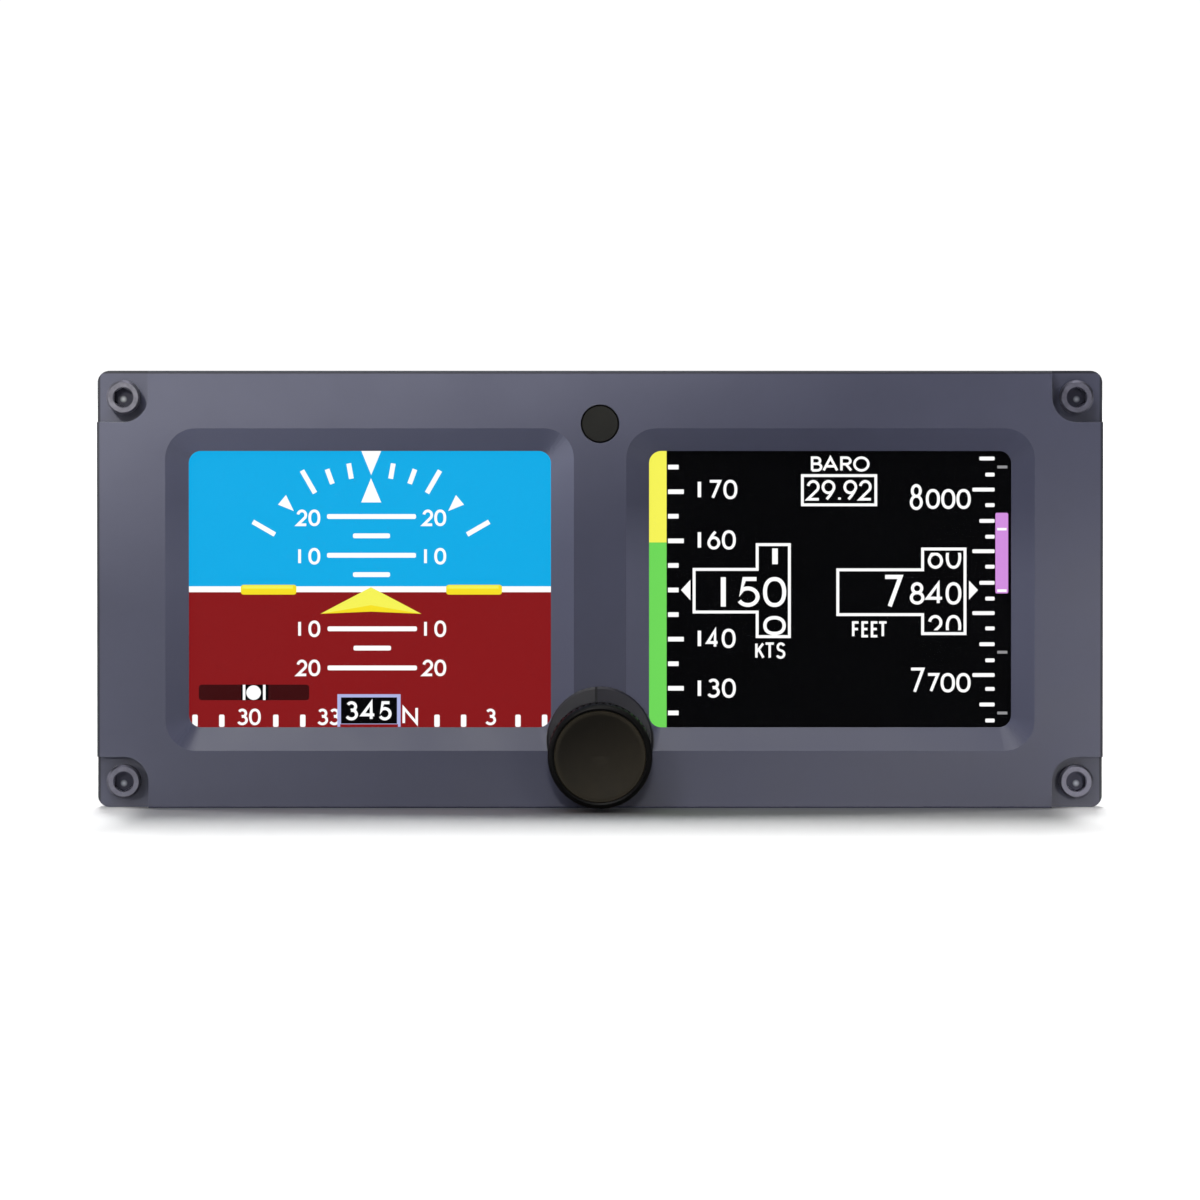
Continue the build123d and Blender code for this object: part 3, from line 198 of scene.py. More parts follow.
alu_sheet = surface("sheet_aluminium", (0.58, 0.59, 0.60), 0.42, metal=1.0, grain=0.15, bump=0.2, mottle=6.0,
                    shade=0.08, rough_shade=0.10, stretch=(0.1, 1.0, 1.0))
alu_turned = surface("machined_aluminium", (0.62, 0.63, 0.64), 0.33, metal=1.0, grain=0.12, bump=0.2, mottle=3.0,
                     shade=0.10, rough_shade=0.10, stretch=(1.0, 6.0, 1.0))
glass_mat = surface("window_glass", (0.006, 0.0065, 0.008), 0.08, grain=4.0, bump=0.0, mottle=12.0, shade=0.3,
                    rough_shade=0.03, spec=0.015, ior=1.5)
glass_mat.node_tree.nodes["Principled BSDF"].inputs["Alpha"].default_value = 0.08
cell_mat = surface("display_cell", (0.008, 0.008, 0.009), 0.3, grain=0.1, bump=0.05, mottle=5.0, shade=0.3)
white_mould = surface("white_moulding", (0.72, 0.73, 0.72), 0.45, grain=0.3, bump=0.1, mottle=8.0, shade=0.04)
rubber = surface("black_rubber", (0.018, 0.018, 0.018), 0.75, grain=0.18, bump=0.5, mottle=3.0, shade=0.25, spec=0.3)
amber = surface("amber_film", (0.42, 0.17, 0.03), 0.25, grain=0.5, bump=0.05, mottle=2.0, shade=0.15)
pipe_mat = surface("smoked_window", (0.0062, 0.0062, 0.0058), 0.40, grain=0.2, bump=0.03, mottle=2.5, shade=0.10,
                   rough_shade=0.04, spec=0.16)
chip_mat = surface("chip_black", (0.022, 0.022, 0.024), 0.55, grain=0.12, bump=0.3, mottle=2.0, shade=0.2)
knob_mat = surface("knob_black", (0.0042, 0.0040, 0.0040), 0.44, grain=0.16, bump=0.18, mottle=2.4, shade=0.22,
                   rough_shade=0.07, wear=0.5, wear_rgb=(0.012, 0.0115, 0.011), wear_radius=0.15, spec=0.07)
disc_mat = surface("knob_disc", (0.0195, 0.0160, 0.0104), 0.45, grain=0.14, bump=0.10, mottle=3.0, shade=0.14,
                   rough_shade=0.05, wear=0.8, wear_rgb=(0.050, 0.043, 0.031), wear_radius=0.25, spec=0.06)
bronze = surface("sintered_bronze", (0.45, 0.28, 0.11), 0.5, metal=1.0, grain=0.09, bump=0.5, mottle=1.2, shade=0.25)
encoder_mat = surface("encoder_moulding", (0.03, 0.045, 0.07), 0.5, grain=0.2, bump=0.2, mottle=3.0, shade=0.15)
mask_green = surface("solder_mask", (0.012, 0.10, 0.035), 0.35, grain=0.5, bump=0.15, mottle=4.0, shade=0.3)
board_mat = surface("board_parts", (0.04, 0.04, 0.045), 0.5, grain=0.2, bump=0.2, mottle=4.0, shade=0.3)
plug_black = surface("connector_moulding", (0.016, 0.016, 0.018), 0.5, grain=0.16, bump=0.3, mottle=2.0, shade=0.25)
plate_zinc = surface("zinc_plate", (0.56, 0.52, 0.40), 0.28, metal=1.0, grain=0.2, bump=0.15, mottle=2.5, shade=0.14,
                     rough_shade=0.10, wear=0.4, wear_rgb=(0.75, 0.73, 0.68), wear_radius=0.12)
gold = surface("gold_plate", (0.83, 0.58, 0.20), 0.20, metal=1.0, grain=0.1, bump=0.08, mottle=0.8, shade=0.10)
port_blue = surface("blue_anodising", (0.03, 0.07, 0.26), 0.30, metal=0.8, grain=0.14, bump=0.15, mottle=2.5,
                    shade=0.15, rough_shade=0.08, wear=0.7, wear_rgb=(0.60, 0.61, 0.63), wear_radius=0.15)
hose_mat = surface("hose_rubber", (0.03, 0.03, 0.03), 0.6, grain=0.2, bump=0.3, mottle=3.0, shade=0.2)
can_mat = surface("sensor_can", (0.5, 0.5, 0.5), 0.35, metal=1.0, grain=0.2, bump=0.1, mottle=4.0, shade=0.1)
sleeve = surface("cell_sleeve", (0.02, 0.06, 0.2), 0.3, grain=0.4, bump=0.1, mottle=6.0, shade=0.12)
pack_black = surface("battery_moulding", (0.035, 0.035, 0.038), 0.58, grain=0.28, bump=0.35, mottle=7.0, shade=0.15)



def zone(m, rgb, build):
    """Mixes another colour into a finish where the mask that build() makes from object coordinates is 1."""
    nt = m.node_tree
    b = nt.nodes["Principled BSDF"]
    src = b.inputs["Base Color"].links[0].from_socket
    mask = build(nt)
    mix = node(nt, "ShaderNodeMix", -100, 500, data_type="RGBA")
    nt.links.new(mask, mix.inputs[0])
    nt.links.new(src, mix.inputs[6])
    mix.inputs[7].default_value = (*rgb, 1.0)
    nt.links.new(mix.outputs[2], b.inputs["Base Color"])


def ramp(nt, socket, a, b, to0=0.0, to1=1.0):
    n = node(nt, "ShaderNodeMapRange", -700, 900)
    n.inputs["From Min"].default_value = a
    n.inputs["From Max"].default_value = b
    n.inputs["To Min"].default_value = to0
    n.inputs["To Max"].default_value = to1
    nt.links.new(socket, n.inputs["Value"])
    return n.outputs["Result"]


def times(nt, a, b):
    n = node(nt, "ShaderNodeMath", -500, 900, operation="MULTIPLY", use_clamp=True)
    nt.links.new(a, n.inputs[0])
    nt.links.new(b, n.inputs[1])
    return n.outputs[0]


def value(nt, op, a, b=None):
    n = node(nt, "ShaderNodeMath", -900, 1300, operation=op)
    for i, v in enumerate((a, b)):
        if isinstance(v, float):
            n.inputs[i].default_value = v
        elif v is not None:
            nt.links.new(v, n.inputs[i])
    return n.outputs[0]


def place(nt):
    """The point's own X, Y and Z on the object."""
    tc = node(nt, "ShaderNodeTexCoord", -1500, 1700)
    pos = node(nt, "ShaderNodeSeparateXYZ", -1300, 1700)
    nt.links.new(tc.outputs["Object"], pos.inputs[0])
    return pos.outputs["X"], pos.outputs["Y"], pos.outputs["Z"]


def off_axis(nt, x, z, cx, cz):
    """Distance from an axis that is parallel to Y."""
    dx, dz = value(nt, "SUBTRACT", x, cx), value(nt, "SUBTRACT", z, cz)
    return value(nt, "SQRT", value(nt, "ADD", value(nt, "MULTIPLY", dx, dx), value(nt, "MULTIPLY", dz, dz)))


def collar(nt):
    x, y, z = place(nt)
    return ramp(nt, off_axis(nt, x, z, 0.0, COLLAR_Z), 7.46 * MM, 7.40 * MM)


def collar_right_painted_shade(nt):
    """The collar's face to the right of its index line, painted darker as shade where it turns away from the light."""
    x, y, z = place(nt)
    return times(nt, ramp(nt, off_axis(nt, x, z, 0.0, COLLAR_Z), 7.46 * MM, 7.40 * MM), ramp(nt, x, -0.6 * MM, -0.4 * MM))


def collar_foot_painted_shadow(nt):
    """The collar's lower part beside the knob, painted near black as the knob's shadow on it."""
    x, y, z = place(nt)
    return times(nt, ramp(nt, off_axis(nt, x, z, 0.0, COLLAR_Z), 7.50 * MM, 7.44 * MM), ramp(nt, z, -18.2 * MM, -20.6 * MM))


def index_line(nt):
    x, y, z = place(nt)
    near = ramp(nt, value(nt, "ABSOLUTE", value(nt, "ADD", x, 0.52 * MM)), 0.19 * MM, 0.15 * MM)
    return times(nt, times(nt, near, ramp(nt, z, -17.2 * MM, -17.0 * MM)),
                 ramp(nt, off_axis(nt, x, z, 0.0, COLLAR_Z), 7.46 * MM, 7.40 * MM))


def outline(nt):
    """A thin dark line painted along the bezel's top and side edges, and on the sides themselves, as shade where they
    turn away from the light.
    """
    x, y, z = place(nt)
    side = value(nt, "SUBTRACT", 69.85 * MM, value(nt, "ABSOLUTE", x))
    top = value(nt, "SUBTRACT", 30.35 * MM, z)
    near = ramp(nt, value(nt, "MINIMUM", side, top), 0.42 * MM, 0.30 * MM)
    return times(nt, near, ramp(nt, y, -1.0 * MM, -1.2 * MM))


def lower_edge_painted_light(nt):
    """The chamfer along the bezel's lower edge, painted a little lighter as the light it catches from the floor."""
    x, y, z = place(nt)
    return times(nt, ramp(nt, z, -30.13 * MM, -30.17 * MM), ramp(nt, y, -6.0 * MM, -6.1 * MM))


def chamfer_painted_light(nt, axis, sign):
    """The recesses' chamfers that face along an axis, painted lighter than the face as the light that falls on them."""
    x, y, z = place(nt)
    geo = node(nt, "ShaderNodeNewGeometry", -1500, 1500)
    sep = node(nt, "ShaderNodeSeparateXYZ", -1300, 1500)
    nt.links.new(geo.outputs["True Normal"], sep.inputs[0])
    n = sep.outputs[axis]
    lean = value(nt, "ABSOLUTE", n) if sign == 0 else value(nt, "MULTIPLY", n, float(sign))
    inside = times(nt, ramp(nt, value(nt, "ABSOLUTE", x), 61.5 * MM, 61.3 * MM), ramp(nt, value(nt, "ABSOLUTE", z), 23.0 * MM, 22.8 * MM))
    deep = times(nt, ramp(nt, y, -6.40 * MM, -6.33 * MM), ramp(nt, y, -4.2 * MM, -4.3 * MM))
    mask = times(nt, times(nt, inside, deep), times(nt, ramp(nt, lean, 0.25, 0.42), ramp(nt, lean, 0.97, 0.93)))
    if sign == 0:
        # on the side chamfers the painted light stays off the upper part, where shade falls, except on the chamfer just
        # left of the middle
        inner = times(nt, ramp(nt, x, -9.0 * MM, -8.5 * MM), ramp(nt, x, -2.0 * MM, -2.5 * MM))
        mask = times(nt, mask, value(nt, "MAXIMUM", ramp(nt, z, 12.0 * MM, 2.0 * MM), inner))
    return mask


def middle_chamfer_painted_light(nt):
    """Of those chamfers, the two on either side of the bezel's middle, painted lighter still as the extra light they
    catch.
    """
    x, y, z = place(nt)
    return times(nt, chamfer_painted_light(nt, "X", 0), ramp(nt, value(nt, "ABSOLUTE", x), 9.0 * MM, 8.5 * MM))


def disc_painted_shade(nt):
    """The knob disc's upper left, painted darker as shade; the lower right of the dished face turns towards the light.
    """
    x, y, z = place(nt)
    along = value(nt, "SUBTRACT", value(nt, "MULTIPLY", x, 0.45), value(nt, "MULTIPLY", value(nt, "SUBTRACT", z, -22.6 * MM), 0.9))
    return times(nt, ramp(nt, along, 4.5 * MM, -4.5 * MM, 0.0, 0.85),
                 ramp(nt, off_axis(nt, x, z, 0.0, -22.6 * MM), 6.0 * MM, 5.6 * MM))


def socket_painted_shade(nt):
    """The inside of the four panel screws' sockets and a lip round them, painted dark as the shade in the holes."""
    x, y, z = place(nt)
    r = off_axis(nt, value(nt, "ABSOLUTE", x), value(nt, "ABSOLUTE", z), 66.2 * MM, 26.7 * MM)
    return ramp(nt, r, 1.50 * MM, 1.38 * MM)


def drill_point_painted_glint(nt):
    """A bright glint painted at the bottom of each socket, where the drill point would catch the light."""
    x, y, z = place(nt)
    low = value(nt, "MULTIPLY", value(nt, "SIGN", z), 26.7 * MM)
    dx = value(nt, "SUBTRACT", value(nt, "ABSOLUTE", x), 66.2 * MM)
    dz = value(nt, "ADD", value(nt, "SUBTRACT", z, low), 0.28 * MM)
    r = value(nt, "SQRT", value(nt, "ADD", value(nt, "MULTIPLY", dx, dx), value(nt, "MULTIPLY", dz, dz)))
    return times(nt, ramp(nt, r, 0.52 * MM, 0.10 * MM), ramp(nt, y, -5.2 * MM, -4.9 * MM))


COLLAR_Z = -20.9 * MM
zone(bezel_paint, (0.030, 0.029, 0.034), collar)
# painted shade on the collar's face to the right of the index line
zone(bezel_paint, (0.0145, 0.014, 0.0215), collar_right_painted_shade)
zone(bezel_paint, (0.006, 0.006, 0.009), index_line)
# painted shadow of the knob on the collar's lower part
zone(bezel_paint, (0.005, 0.005, 0.007), collar_foot_painted_shadow)
# painted shade along the bezel's top and side edges
zone(bezel_paint, (0.009, 0.010, 0.020), outline)
# painted light on the chamfer along the bezel's lower edge
zone(bezel_paint, (0.085, 0.090, 0.140), lower_edge_painted_light)
# painted light on the recesses' chamfers, lighter still beside the middle
zone(bezel_paint, (0.0684, 0.0715, 0.1140), lambda nt: chamfer_painted_light(nt, "X", 0))
zone(bezel_paint, (0.0540, 0.0570, 0.0960), lambda nt: chamfer_painted_light(nt, "Z", -1))
zone(bezel_paint, (0.0920, 0.0960, 0.1480), middle_chamfer_painted_light)
# painted shade in the panel screws' sockets
zone(panel_steel, (0.016, 0.016, 0.026), socket_painted_shade)
# painted glint at the bottom of each socket
zone(panel_steel, (0.17, 0.18, 0.21), drill_point_painted_glint)
# painted shade on the knob disc's upper left
zone(disc_mat, (0.0050, 0.0042, 0.0029), disc_painted_shade)

FINISH = {
    "bezel": bezel_paint, "panel_screws": panel_steel,
    "display_window_left": glass_mat, "display_window_right": glass_mat, "window_gaskets": rubber,
    "lcd_panel_left": cell_mat, "lcd_panel_right": cell_mat, "backlight_units": white_mould,
    "display_bracket": alu_sheet, "bracket_screws": steel_dull, "display_ribbons": amber,
    "light_pipe": pipe_mat, "light_sensor": chip_mat, "knob_cap": knob_mat, "knob_face": disc_mat,
    "knob_hub": alu_turned, "knob_set_screws": steel_dull, "knob_shaft": steel_bright,
    "shaft_clip": steel_bright, "shaft_bushing": bronze, "shaft_seal": rubber,
    "encoder_housing": encoder_mat, "encoder_rotor": bronze, "push_plunger": white_mould,
    "push_dome": steel_bright, "encoder_base": encoder_mat, "chassis_tray": case_paint,
    "top_cover": case_paint, "bezel_screws": steel_dull, "cover_screws": steel_dull,
    "rear_plate_screws": steel_dull, "rear_plate": case_paint, "port_fittings": port_blue,
    "port_seals": rubber, "port_nuts": alu_turned, "air_hoses": hose_mat, "pressure_transducers": can_mat,
    "connector_shell": plate_zinc, "connector_insulator": plug_black, "connector_pins": gold,
    "connector_screwlocks": steel_dull, "display_board": mask_green, "board_standoffs": alu_turned,
    "main_board": mask_green, "board_screws": steel_dull, "board_connectors": plug_black,
    "main_board_chips": chip_mat, "power_board": mask_green, "power_board_parts": board_mat,
    "sensor_stack_posts": alu_turned, "sensor_board": mask_green, "inertial_sensor": alu_turned,
    "battery_bay": alu_sheet, "battery_socket": plug_black, "battery_case": pack_black,
    "battery_cells": sleeve, "battery_terminals": gold, "battery_faceplate": case_paint,
    "thumbscrew_left": steel_bright, "thumbscrew_right": steel_bright,
}
for name, obj in nodes.items():
    if not obj.material_slots:
        obj.data.materials.append(FINISH[name])
    for s in obj.material_slots:
        s.material = FINISH[name]


# ---------------------------------------------------------------- stroke lettering
def arc(cx, cy, rx, ry, a0, a1, n=14):
    out = []
    for i in range(n + 1):
        a = math.radians(a0 + (a1 - a0) * i / n)
        out.append((cx + rx * math.cos(a), cy + ry * math.sin(a)))
    return out


def ring(cx, cy, rx, ry, n=32, power=2.0):
    out = []
    for i in range(n):
        a = 2 * math.pi * (i + 0.5) / n
        c, s = math.cos(a), math.sin(a)
        out.append((cx + rx * math.copysign(abs(c) ** (2 / power), c), cy + ry * math.copysign(abs(s) ** (2 / power), s)))
    return out


# Each glyph: strokes as (points, closed), in a box one wide and one high.
GLYPHS = {
    "0": [(ring(0.5, 0.5, 0.5, 0.5, 36, 2.25), True)],
    "1": [([(0.5, 0.0), (0.5, 1.0)], False)],
    "2": [(arc(0.49, 0.70, 0.46, 0.30, 172, -38) + [(0.0, 0.0), (1.0, 0.0)], False)],
    "3": [(arc(0.45, 0.76, 0.42, 0.24, 150, -80) + [(0.40, 0.53)], False),
          ([(0.40, 0.53)] + arc(0.44, 0.275, 0.52, 0.275, 88, -152, 18), False)],
    "4": [([(1.0, 0.25), (0.0, 0.25), (0.74, 1.0), (0.74, 0.0)], False)],
    "5": [([(0.92, 1.0), (0.27, 1.0), (0.10, 0.50)] + arc(0.46, 0.32, 0.52, 0.32, 125, -150, 20), False)],
    "6": [([(0.66, 1.0), (0.36, 0.78), (0.12, 0.54), (0.02, 0.40)], False), (ring(0.5, 0.32, 0.5, 0.32, 32), True)],
    "7": [([(0.0, 1.0), (1.0, 1.0), (0.30, 0.0)], False)],
    "8": [(ring(0.5, 0.765, 0.40, 0.235, 28), True), (ring(0.5, 0.27, 0.5, 0.27, 32), True)],
    "9": [([(0.34, 0.0), (0.64, 0.22), (0.88, 0.46), (0.98, 0.60)], False), (ring(0.5, 0.68, 0.5, 0.32, 32), True)],
    ".": [([(0.5, -0.02), (0.5, 0.10)], False)],
    "A": [([(0.0, 0.0), (0.5, 1.0), (1.0, 0.0)], False), ([(0.17, 0.32), (0.83, 0.32)], False)],
    "B": [([(0.0, 0.0), (0.0, 1.0), (0.5, 1.0)] + arc(0.5, 0.76, 0.38, 0.24, 90, -90) + [(0.0, 0.52)], False),
          ([(0.0, 0.52), (0.55, 0.52)] + arc(0.55, 0.26, 0.45, 0.26, 90, -90) + [(0.0, 0.0)], False)],
    "E": [([(1.0, 1.0), (0.0, 1.0), (0.0, 0.0), (1.0, 0.0)], False), ([(0.0, 0.52), (0.9, 0.52)], False)],
    "F": [([(1.0, 1.0), (0.0, 1.0), (0.0, 0.0)], False), ([(0.0, 0.52), (0.88, 0.52)], False)],
    "K": [([(0.0, 0.0), (0.0, 1.0)], False), ([(0.95, 1.0), (0.06, 0.42)], False), ([(0.32, 0.60), (1.0, 0.0)], False)],
    "N": [([(0.0, 0.0), (0.0, 1.0), (1.0, 0.0), (1.0, 1.0)], False)],
    "O": [(ring(0.5, 0.5, 0.5, 0.5, 36), True)],
    "R": [([(0.0, 0.0), (0.0, 1.0), (0.5, 1.0)] + arc(0.5, 0.745, 0.42, 0.255, 90, -90) + [(0.0, 0.49)], False),
          ([(0.45, 0.49), (1.0, 0.0)], False)],
    "S": [(arc(0.52, 0.755, 0.42, 0.245, 22, 235, 16) + arc(0.47, 0.25, 0.47, 0.25, 62, -158, 16), False)],
    "T": [([(0.0, 1.0), (1.0, 1.0)], False), ([(0.5, 1.0), (0.5, 0.0)], False)],
}


def strip(points, t, closed=False):
    """The quads that a stroke of width t covers along a run of points, with mitred corners."""
    pts = [Vector(p) for p in points]
    clean = [pts[0]]
    for p in pts[1:]:
        if (p - clean[-1]).length > 1e-4:
            clean.append(p)
    if closed and (clean[0] - clean[-1]).length < 1e-4:
        clean.pop()
    pts, n, h = clean, len(clean), t / 2
    left, right = [], []
    for i in range(n):
        before = pts[i] - pts[i - 1] if (i or closed) else None
        after = pts[(i + 1) % n] - pts[i] if (i < n - 1 or closed) else None
        d0 = (before or after).normalized()
        d1 = (after or before).normalized()
        n0, n1 = Vector((-d0.y, d0.x)), Vector((-d1.y, d1.x))
        m = n0 + n1
        if m.length < 1e-6:
            m = n1.copy()
        m.normalize()
        k = h / max(m.dot(n1), 0.38)
        left.append(pts[i] + m * k)
        right.append(pts[i] - m * k)
    last = n if closed else n - 1
    return [hull([left[i], left[(i + 1) % n], right[(i + 1) % n], right[i]]) for i in range(last)]


def hull(points):
    """The convex outline round a few points, so that a pinched corner can't cross itself."""
    pts = sorted((p[0], p[1]) for p in points)

    def half(run):
        out = []
        for p in run:
            while len(out) > 1 and ((out[-1][0] - out[-2][0]) * (p[1] - out[-2][1])
                                    - (out[-1][1] - out[-2][1]) * (p[0] - out[-2][0])) <= 1e-9:
                out.pop()
            out.append(p)
        return out[:-1]
    return half(pts) + half(pts[::-1])


class Picture:
    """Flat shapes painted one over another, cut into one clean sheet with a colour for each triangle."""

    def __init__(self, y):
        self.y, self.shapes, self.colours = y, [], []

    def poly(self, colour, pts):
        self.shapes.append([seen(x, y, self.y) for x, y in pts])
        self.colours.append(colour)

    def rect(self, colour, x0, y0, x1, y1):
        self.poly(colour, [(x0, y1), (x1, y1), (x1, y0), (x0, y0)])

    def round_rect(self, colour, x0, y0, x1, y1, r, n=8):
        pts = []
        for cx, cy, a in ((x1 - r, y1 - r, 0), (x0 + r, y1 - r, 90), (x0 + r, y0 + r, 180), (x1 - r, y0 + r, 270)):
            pts += arc(cx, cy, r, r, a, a + 90, n)
        self.poly(colour, pts)

    def line(self, colour, points, t, closed=False):
        for q in strip(points, t, closed):
            self.poly(colour, [tuple(p) for p in q])

    def disc(self, colour, cx, cy, r, n=28):
        self.poly(colour, arc(cx, cy, r, r, 0, 360 - 360 / n, n - 1))

    def glyph(self, colour, ch, x0, y0, x1, y1, t):
        """A character whose strokes fill the box x0..x1, y0 (top)..y1 (bottom), in pixels."""
        w, h = x1 - x0 - t, y1 - y0 - t
        for pts, closed in GLYPHS[ch]:
            self.line(colour, [(x0 + t / 2 + u * w, y1 - t / 2 - v * h) for u, v in pts], t, closed)

    def text(self, colour, items, y0, y1, t):
        for ch, x0, x1 in items:
            self.glyph(colour, ch, x0, y0, x1, y1, t)

    def build(self, name, materials, thick):
        verts, faces = [], []
        for s in self.shapes:
            if sum(s[i][0] * s[(i + 1) % len(s)][1] - s[(i + 1) % len(s)][0] * s[i][1] for i in range(len(s))) < 0:
                s = s[::-1]
            faces.append(list(range(len(verts), len(verts) + len(s))))
            verts += [Vector((x / MM, z / MM)) for x, z in s]
        v, _, f, _, _, of = delaunay_2d_cdt(verts, [], faces, 0, 1e-5)
        order = sorted(set(self.colours), key=self.colours.index)
        bm = bmesh.new()
        front = [bm.verts.new((p.x * MM, self.y, p.y * MM)) for p in v]
        for tri, src in zip(f, of):
            if 0 not in src or len(set(tri)) < 3:
                continue
            face = bm.faces.new([front[i] for i in tri])
            face.material_index = order.index(self.colours[max(src)])
        for bv in [bv for bv in bm.verts if not bv.link_faces]:
            bm.verts.remove(bv)
        # the sheet's edge and back, so that it is a thin closed film
        rim = [e for e in bm.edges if len(e.link_faces) == 1]
        faces_now = list(bm.faces)
        back = {bv: bm.verts.new((bv.co.x, bv.co.y + thick, bv.co.z)) for bv in list(bm.verts)}
        for fc in faces_now:
            nf = bm.faces.new([back[bv] for bv in reversed(fc.verts)])
            nf.material_index = order.index(self.colours[0])
        for e in rim:
            a, b = e.verts
            nf = bm.faces.new([a, b, back[b], back[a]])
            nf.material_index = order.index(self.colours[0])
        bmesh.ops.recalc_face_normals(bm, faces=bm.faces)
        me = bpy.data.meshes.new(name)
        bm.to_mesh(me)
        bm.free()
        for c in order:
            me.materials.append(materials[c])
        obj = bpy.data.objects.new(name, me)
        bpy.context.scene.collection.objects.link(obj)
        return obj


INK = {
    "sky": glow("picture_sky", (20, 174, 234)),
    "ground": glow("picture_ground", (138, 26, 29)),
    "white": glow("picture_white", (255, 255, 255), 1.20),
    "yellow": glow("picture_yellow", (250, 228, 40)),
    "pale_yellow": glow("picture_pale_yellow", (250, 247, 90)),
    "green": glow("picture_green", (113, 219, 92)),
    "magenta": glow("picture_magenta", (214, 146, 228)),
    "black": glow("picture_black", (4, 4, 5)),
    "maroon": glow("picture_maroon", (60, 14, 16)),
    "lavender": glow("picture_lavender", (178, 184, 232)),
    "grey": glow("picture_grey", (150, 150, 152)),
}
FILM_Y = -2.47 * MM
FILM_T = 0.10 * MM

# ---- left display: horizon, roll and pitch scales, slip ball, heading tape
left = Picture(FILM_Y)
left.rect("black", 186.5, 447.0, 555.0, 730.0)
left.rect("sky", 186.5, 447.0, 555.0, 590.0)
left.rect("ground", 186.5, 589.0, 555.0, 730.0)
left.rect("white", 186.5, 586.3, 555.0, 592.2)
CX, CY = 371.0, 590.0
for deg, r0, r1 in ((60, 111, 136.5), (30, 112, 138), (20, 113, 128.5), (10, 113, 128.5)):
    for s in (-1, 1):
        a = math.radians(deg)
        left.line("white", [(CX + s * r0 * math.sin(a), CY - r0 * math.cos(a)),
                            (CX + s * r1 * math.sin(a), CY - r1 * math.cos(a))], 4.8)
for s in (-1, 1):
    left.poly("white", [(CX + s * (371 - 286.0), 495.0), (CX + s * (371 - 278.0), 504.6), (CX + s * (371 - 293.8), 511.0)])
left.poly("white", [(361.2, 450.5), (381.4, 450.5), (371.2, 475.0)])
left.poly("white", [(371.0, 478.2), (381.2, 502.4), (361.2, 502.4)])
for y, x0, x1 in ((516.5, 327, 416), (555.3, 327, 416), (628.8, 327.5, 417), (667.9, 327.5, 417),
                  (535.8, 353, 390), (574.6, 353, 390), (648.1, 353.5, 391)):
    left.round_rect("white", x0, y - 2.4, x1, y + 2.4, 1.6, 4)
for y, tens in ((517.8, "2"), (556.2, "1"), (628.8, "1"), (667.9, "2")):
    for x in (296.4, 422.3):
        if tens == "2":
            left.glyph("white", "2", x, y - 8.3, x + 11.2, y + 8.3, 2.7)
        else:
            left.glyph("white", "1", x + 1.8, y - 8.3, x + 4.6, y + 8.3, 2.8)
        left.glyph("white", "0", x + 12.0, y - 8.3, x + 23.9, y + 8.3, 2.7)
for x0, x1 in ((240.9, 296.4), (446.2, 502.0)):
    left.round_rect("yellow", x0, 584.8, x1, 594.6, 2.6, 5)
    left.rect("pale_yellow", x0 + 1.4, 585.6, x1 - 3.4, 588.6)
left.poly("pale_yellow", [(371.0, 587.2), (421.4, 613.8), (371.0, 605.4), (320.4, 613.8)])
left.poly("yellow", [(320.4, 613.8), (371.0, 605.2), (421.4, 613.8), (371.0, 611.6)])
left.round_rect("maroon", 198.8, 684.6, 309.2, 700.2, 3.0, 5)
left.rect("black", 241.0, 684.6, 268.4, 700.2)
for x in (244.1, 264.3):
    left.rect("white", x - 1.3, 684.8, x + 1.3, 700.0)
left.disc("white", 253.6, 692.6, 7.3)
for x in (195.0, 221.8, 275.8, 302.8, 437.0, 463.6, 518.0, 544.6):
    left.round_rect("white", x - 2.7, 714.6, x + 2.7, 726.9, 1.4, 4)
left.text("white", (("3", 237.2, 248.2), ("0", 249.0, 260.8)), 708.6, 725.2, 2.6)
left.text("white", (("3", 317.4, 328.4), ("3", 329.4, 340.4)), 708.6, 725.2, 2.6)
left.glyph("white", "N", 402.4, 706.6, 418.0, 724.4, 2.7)
left.glyph("white", "3", 485.4, 708.6, 496.4, 725.2, 2.6)
left.rect("lavender", 337.4, 694.2, 400.6, 726.8)
left.rect("ground", 340.2, 724.2, 398.0, 726.8)
left.rect("black", 341.0, 697.4, 397.0, 723.6)
left.text("white", (("3", 345.6, 358.4), ("4", 360.8, 375.8), ("5", 378.6, 391.8)), 701.2, 720.4, 3.0)
left_film = left.build("display_picture_left", INK, FILM_T)

# ---- right display: airspeed tape, pressure setting, altitude tape, rate bar
right = Picture(FILM_Y)
right.rect("black", 645.0, 447.0, 1014.5, 730.0)
right.rect("pale_yellow", 645.0, 447.0, 666.6, 542.6)
right.rect("green", 645.0, 542.4, 666.6, 730.0)
for i in range(6):
    right.rect("white", 668.0, 467.1 + 49.16 * i - 2.3, 678.6, 467.1 + 49.16 * i + 2.3)
for i in range(5):
    right.rect("white", 668.0, 491.7 + 49.15 * i - 2.3, 678.6 if i == 2 else 683.8, 491.7 + 49.15 * i + 2.3)
for y, digit, x1, x2 in ((489.5, "7", 708.4, 723.4), (539.9, "6", 707.4, 721.9), (638.4, "4", 706.2, 721.7),
                         (688.2, "3", 707.4, 721.9)):
    right.glyph("white", "1", 697.7, y - 9.4, 701.1, y + 9.4, 3.4)
    right.glyph("white", digit, x1, y - 9.6, x1 + 12.8, y + 9.6, 2.8)
    right.glyph("white", "0", x2, y - 9.7, x2 + 13.9, y + 9.7, 2.8)
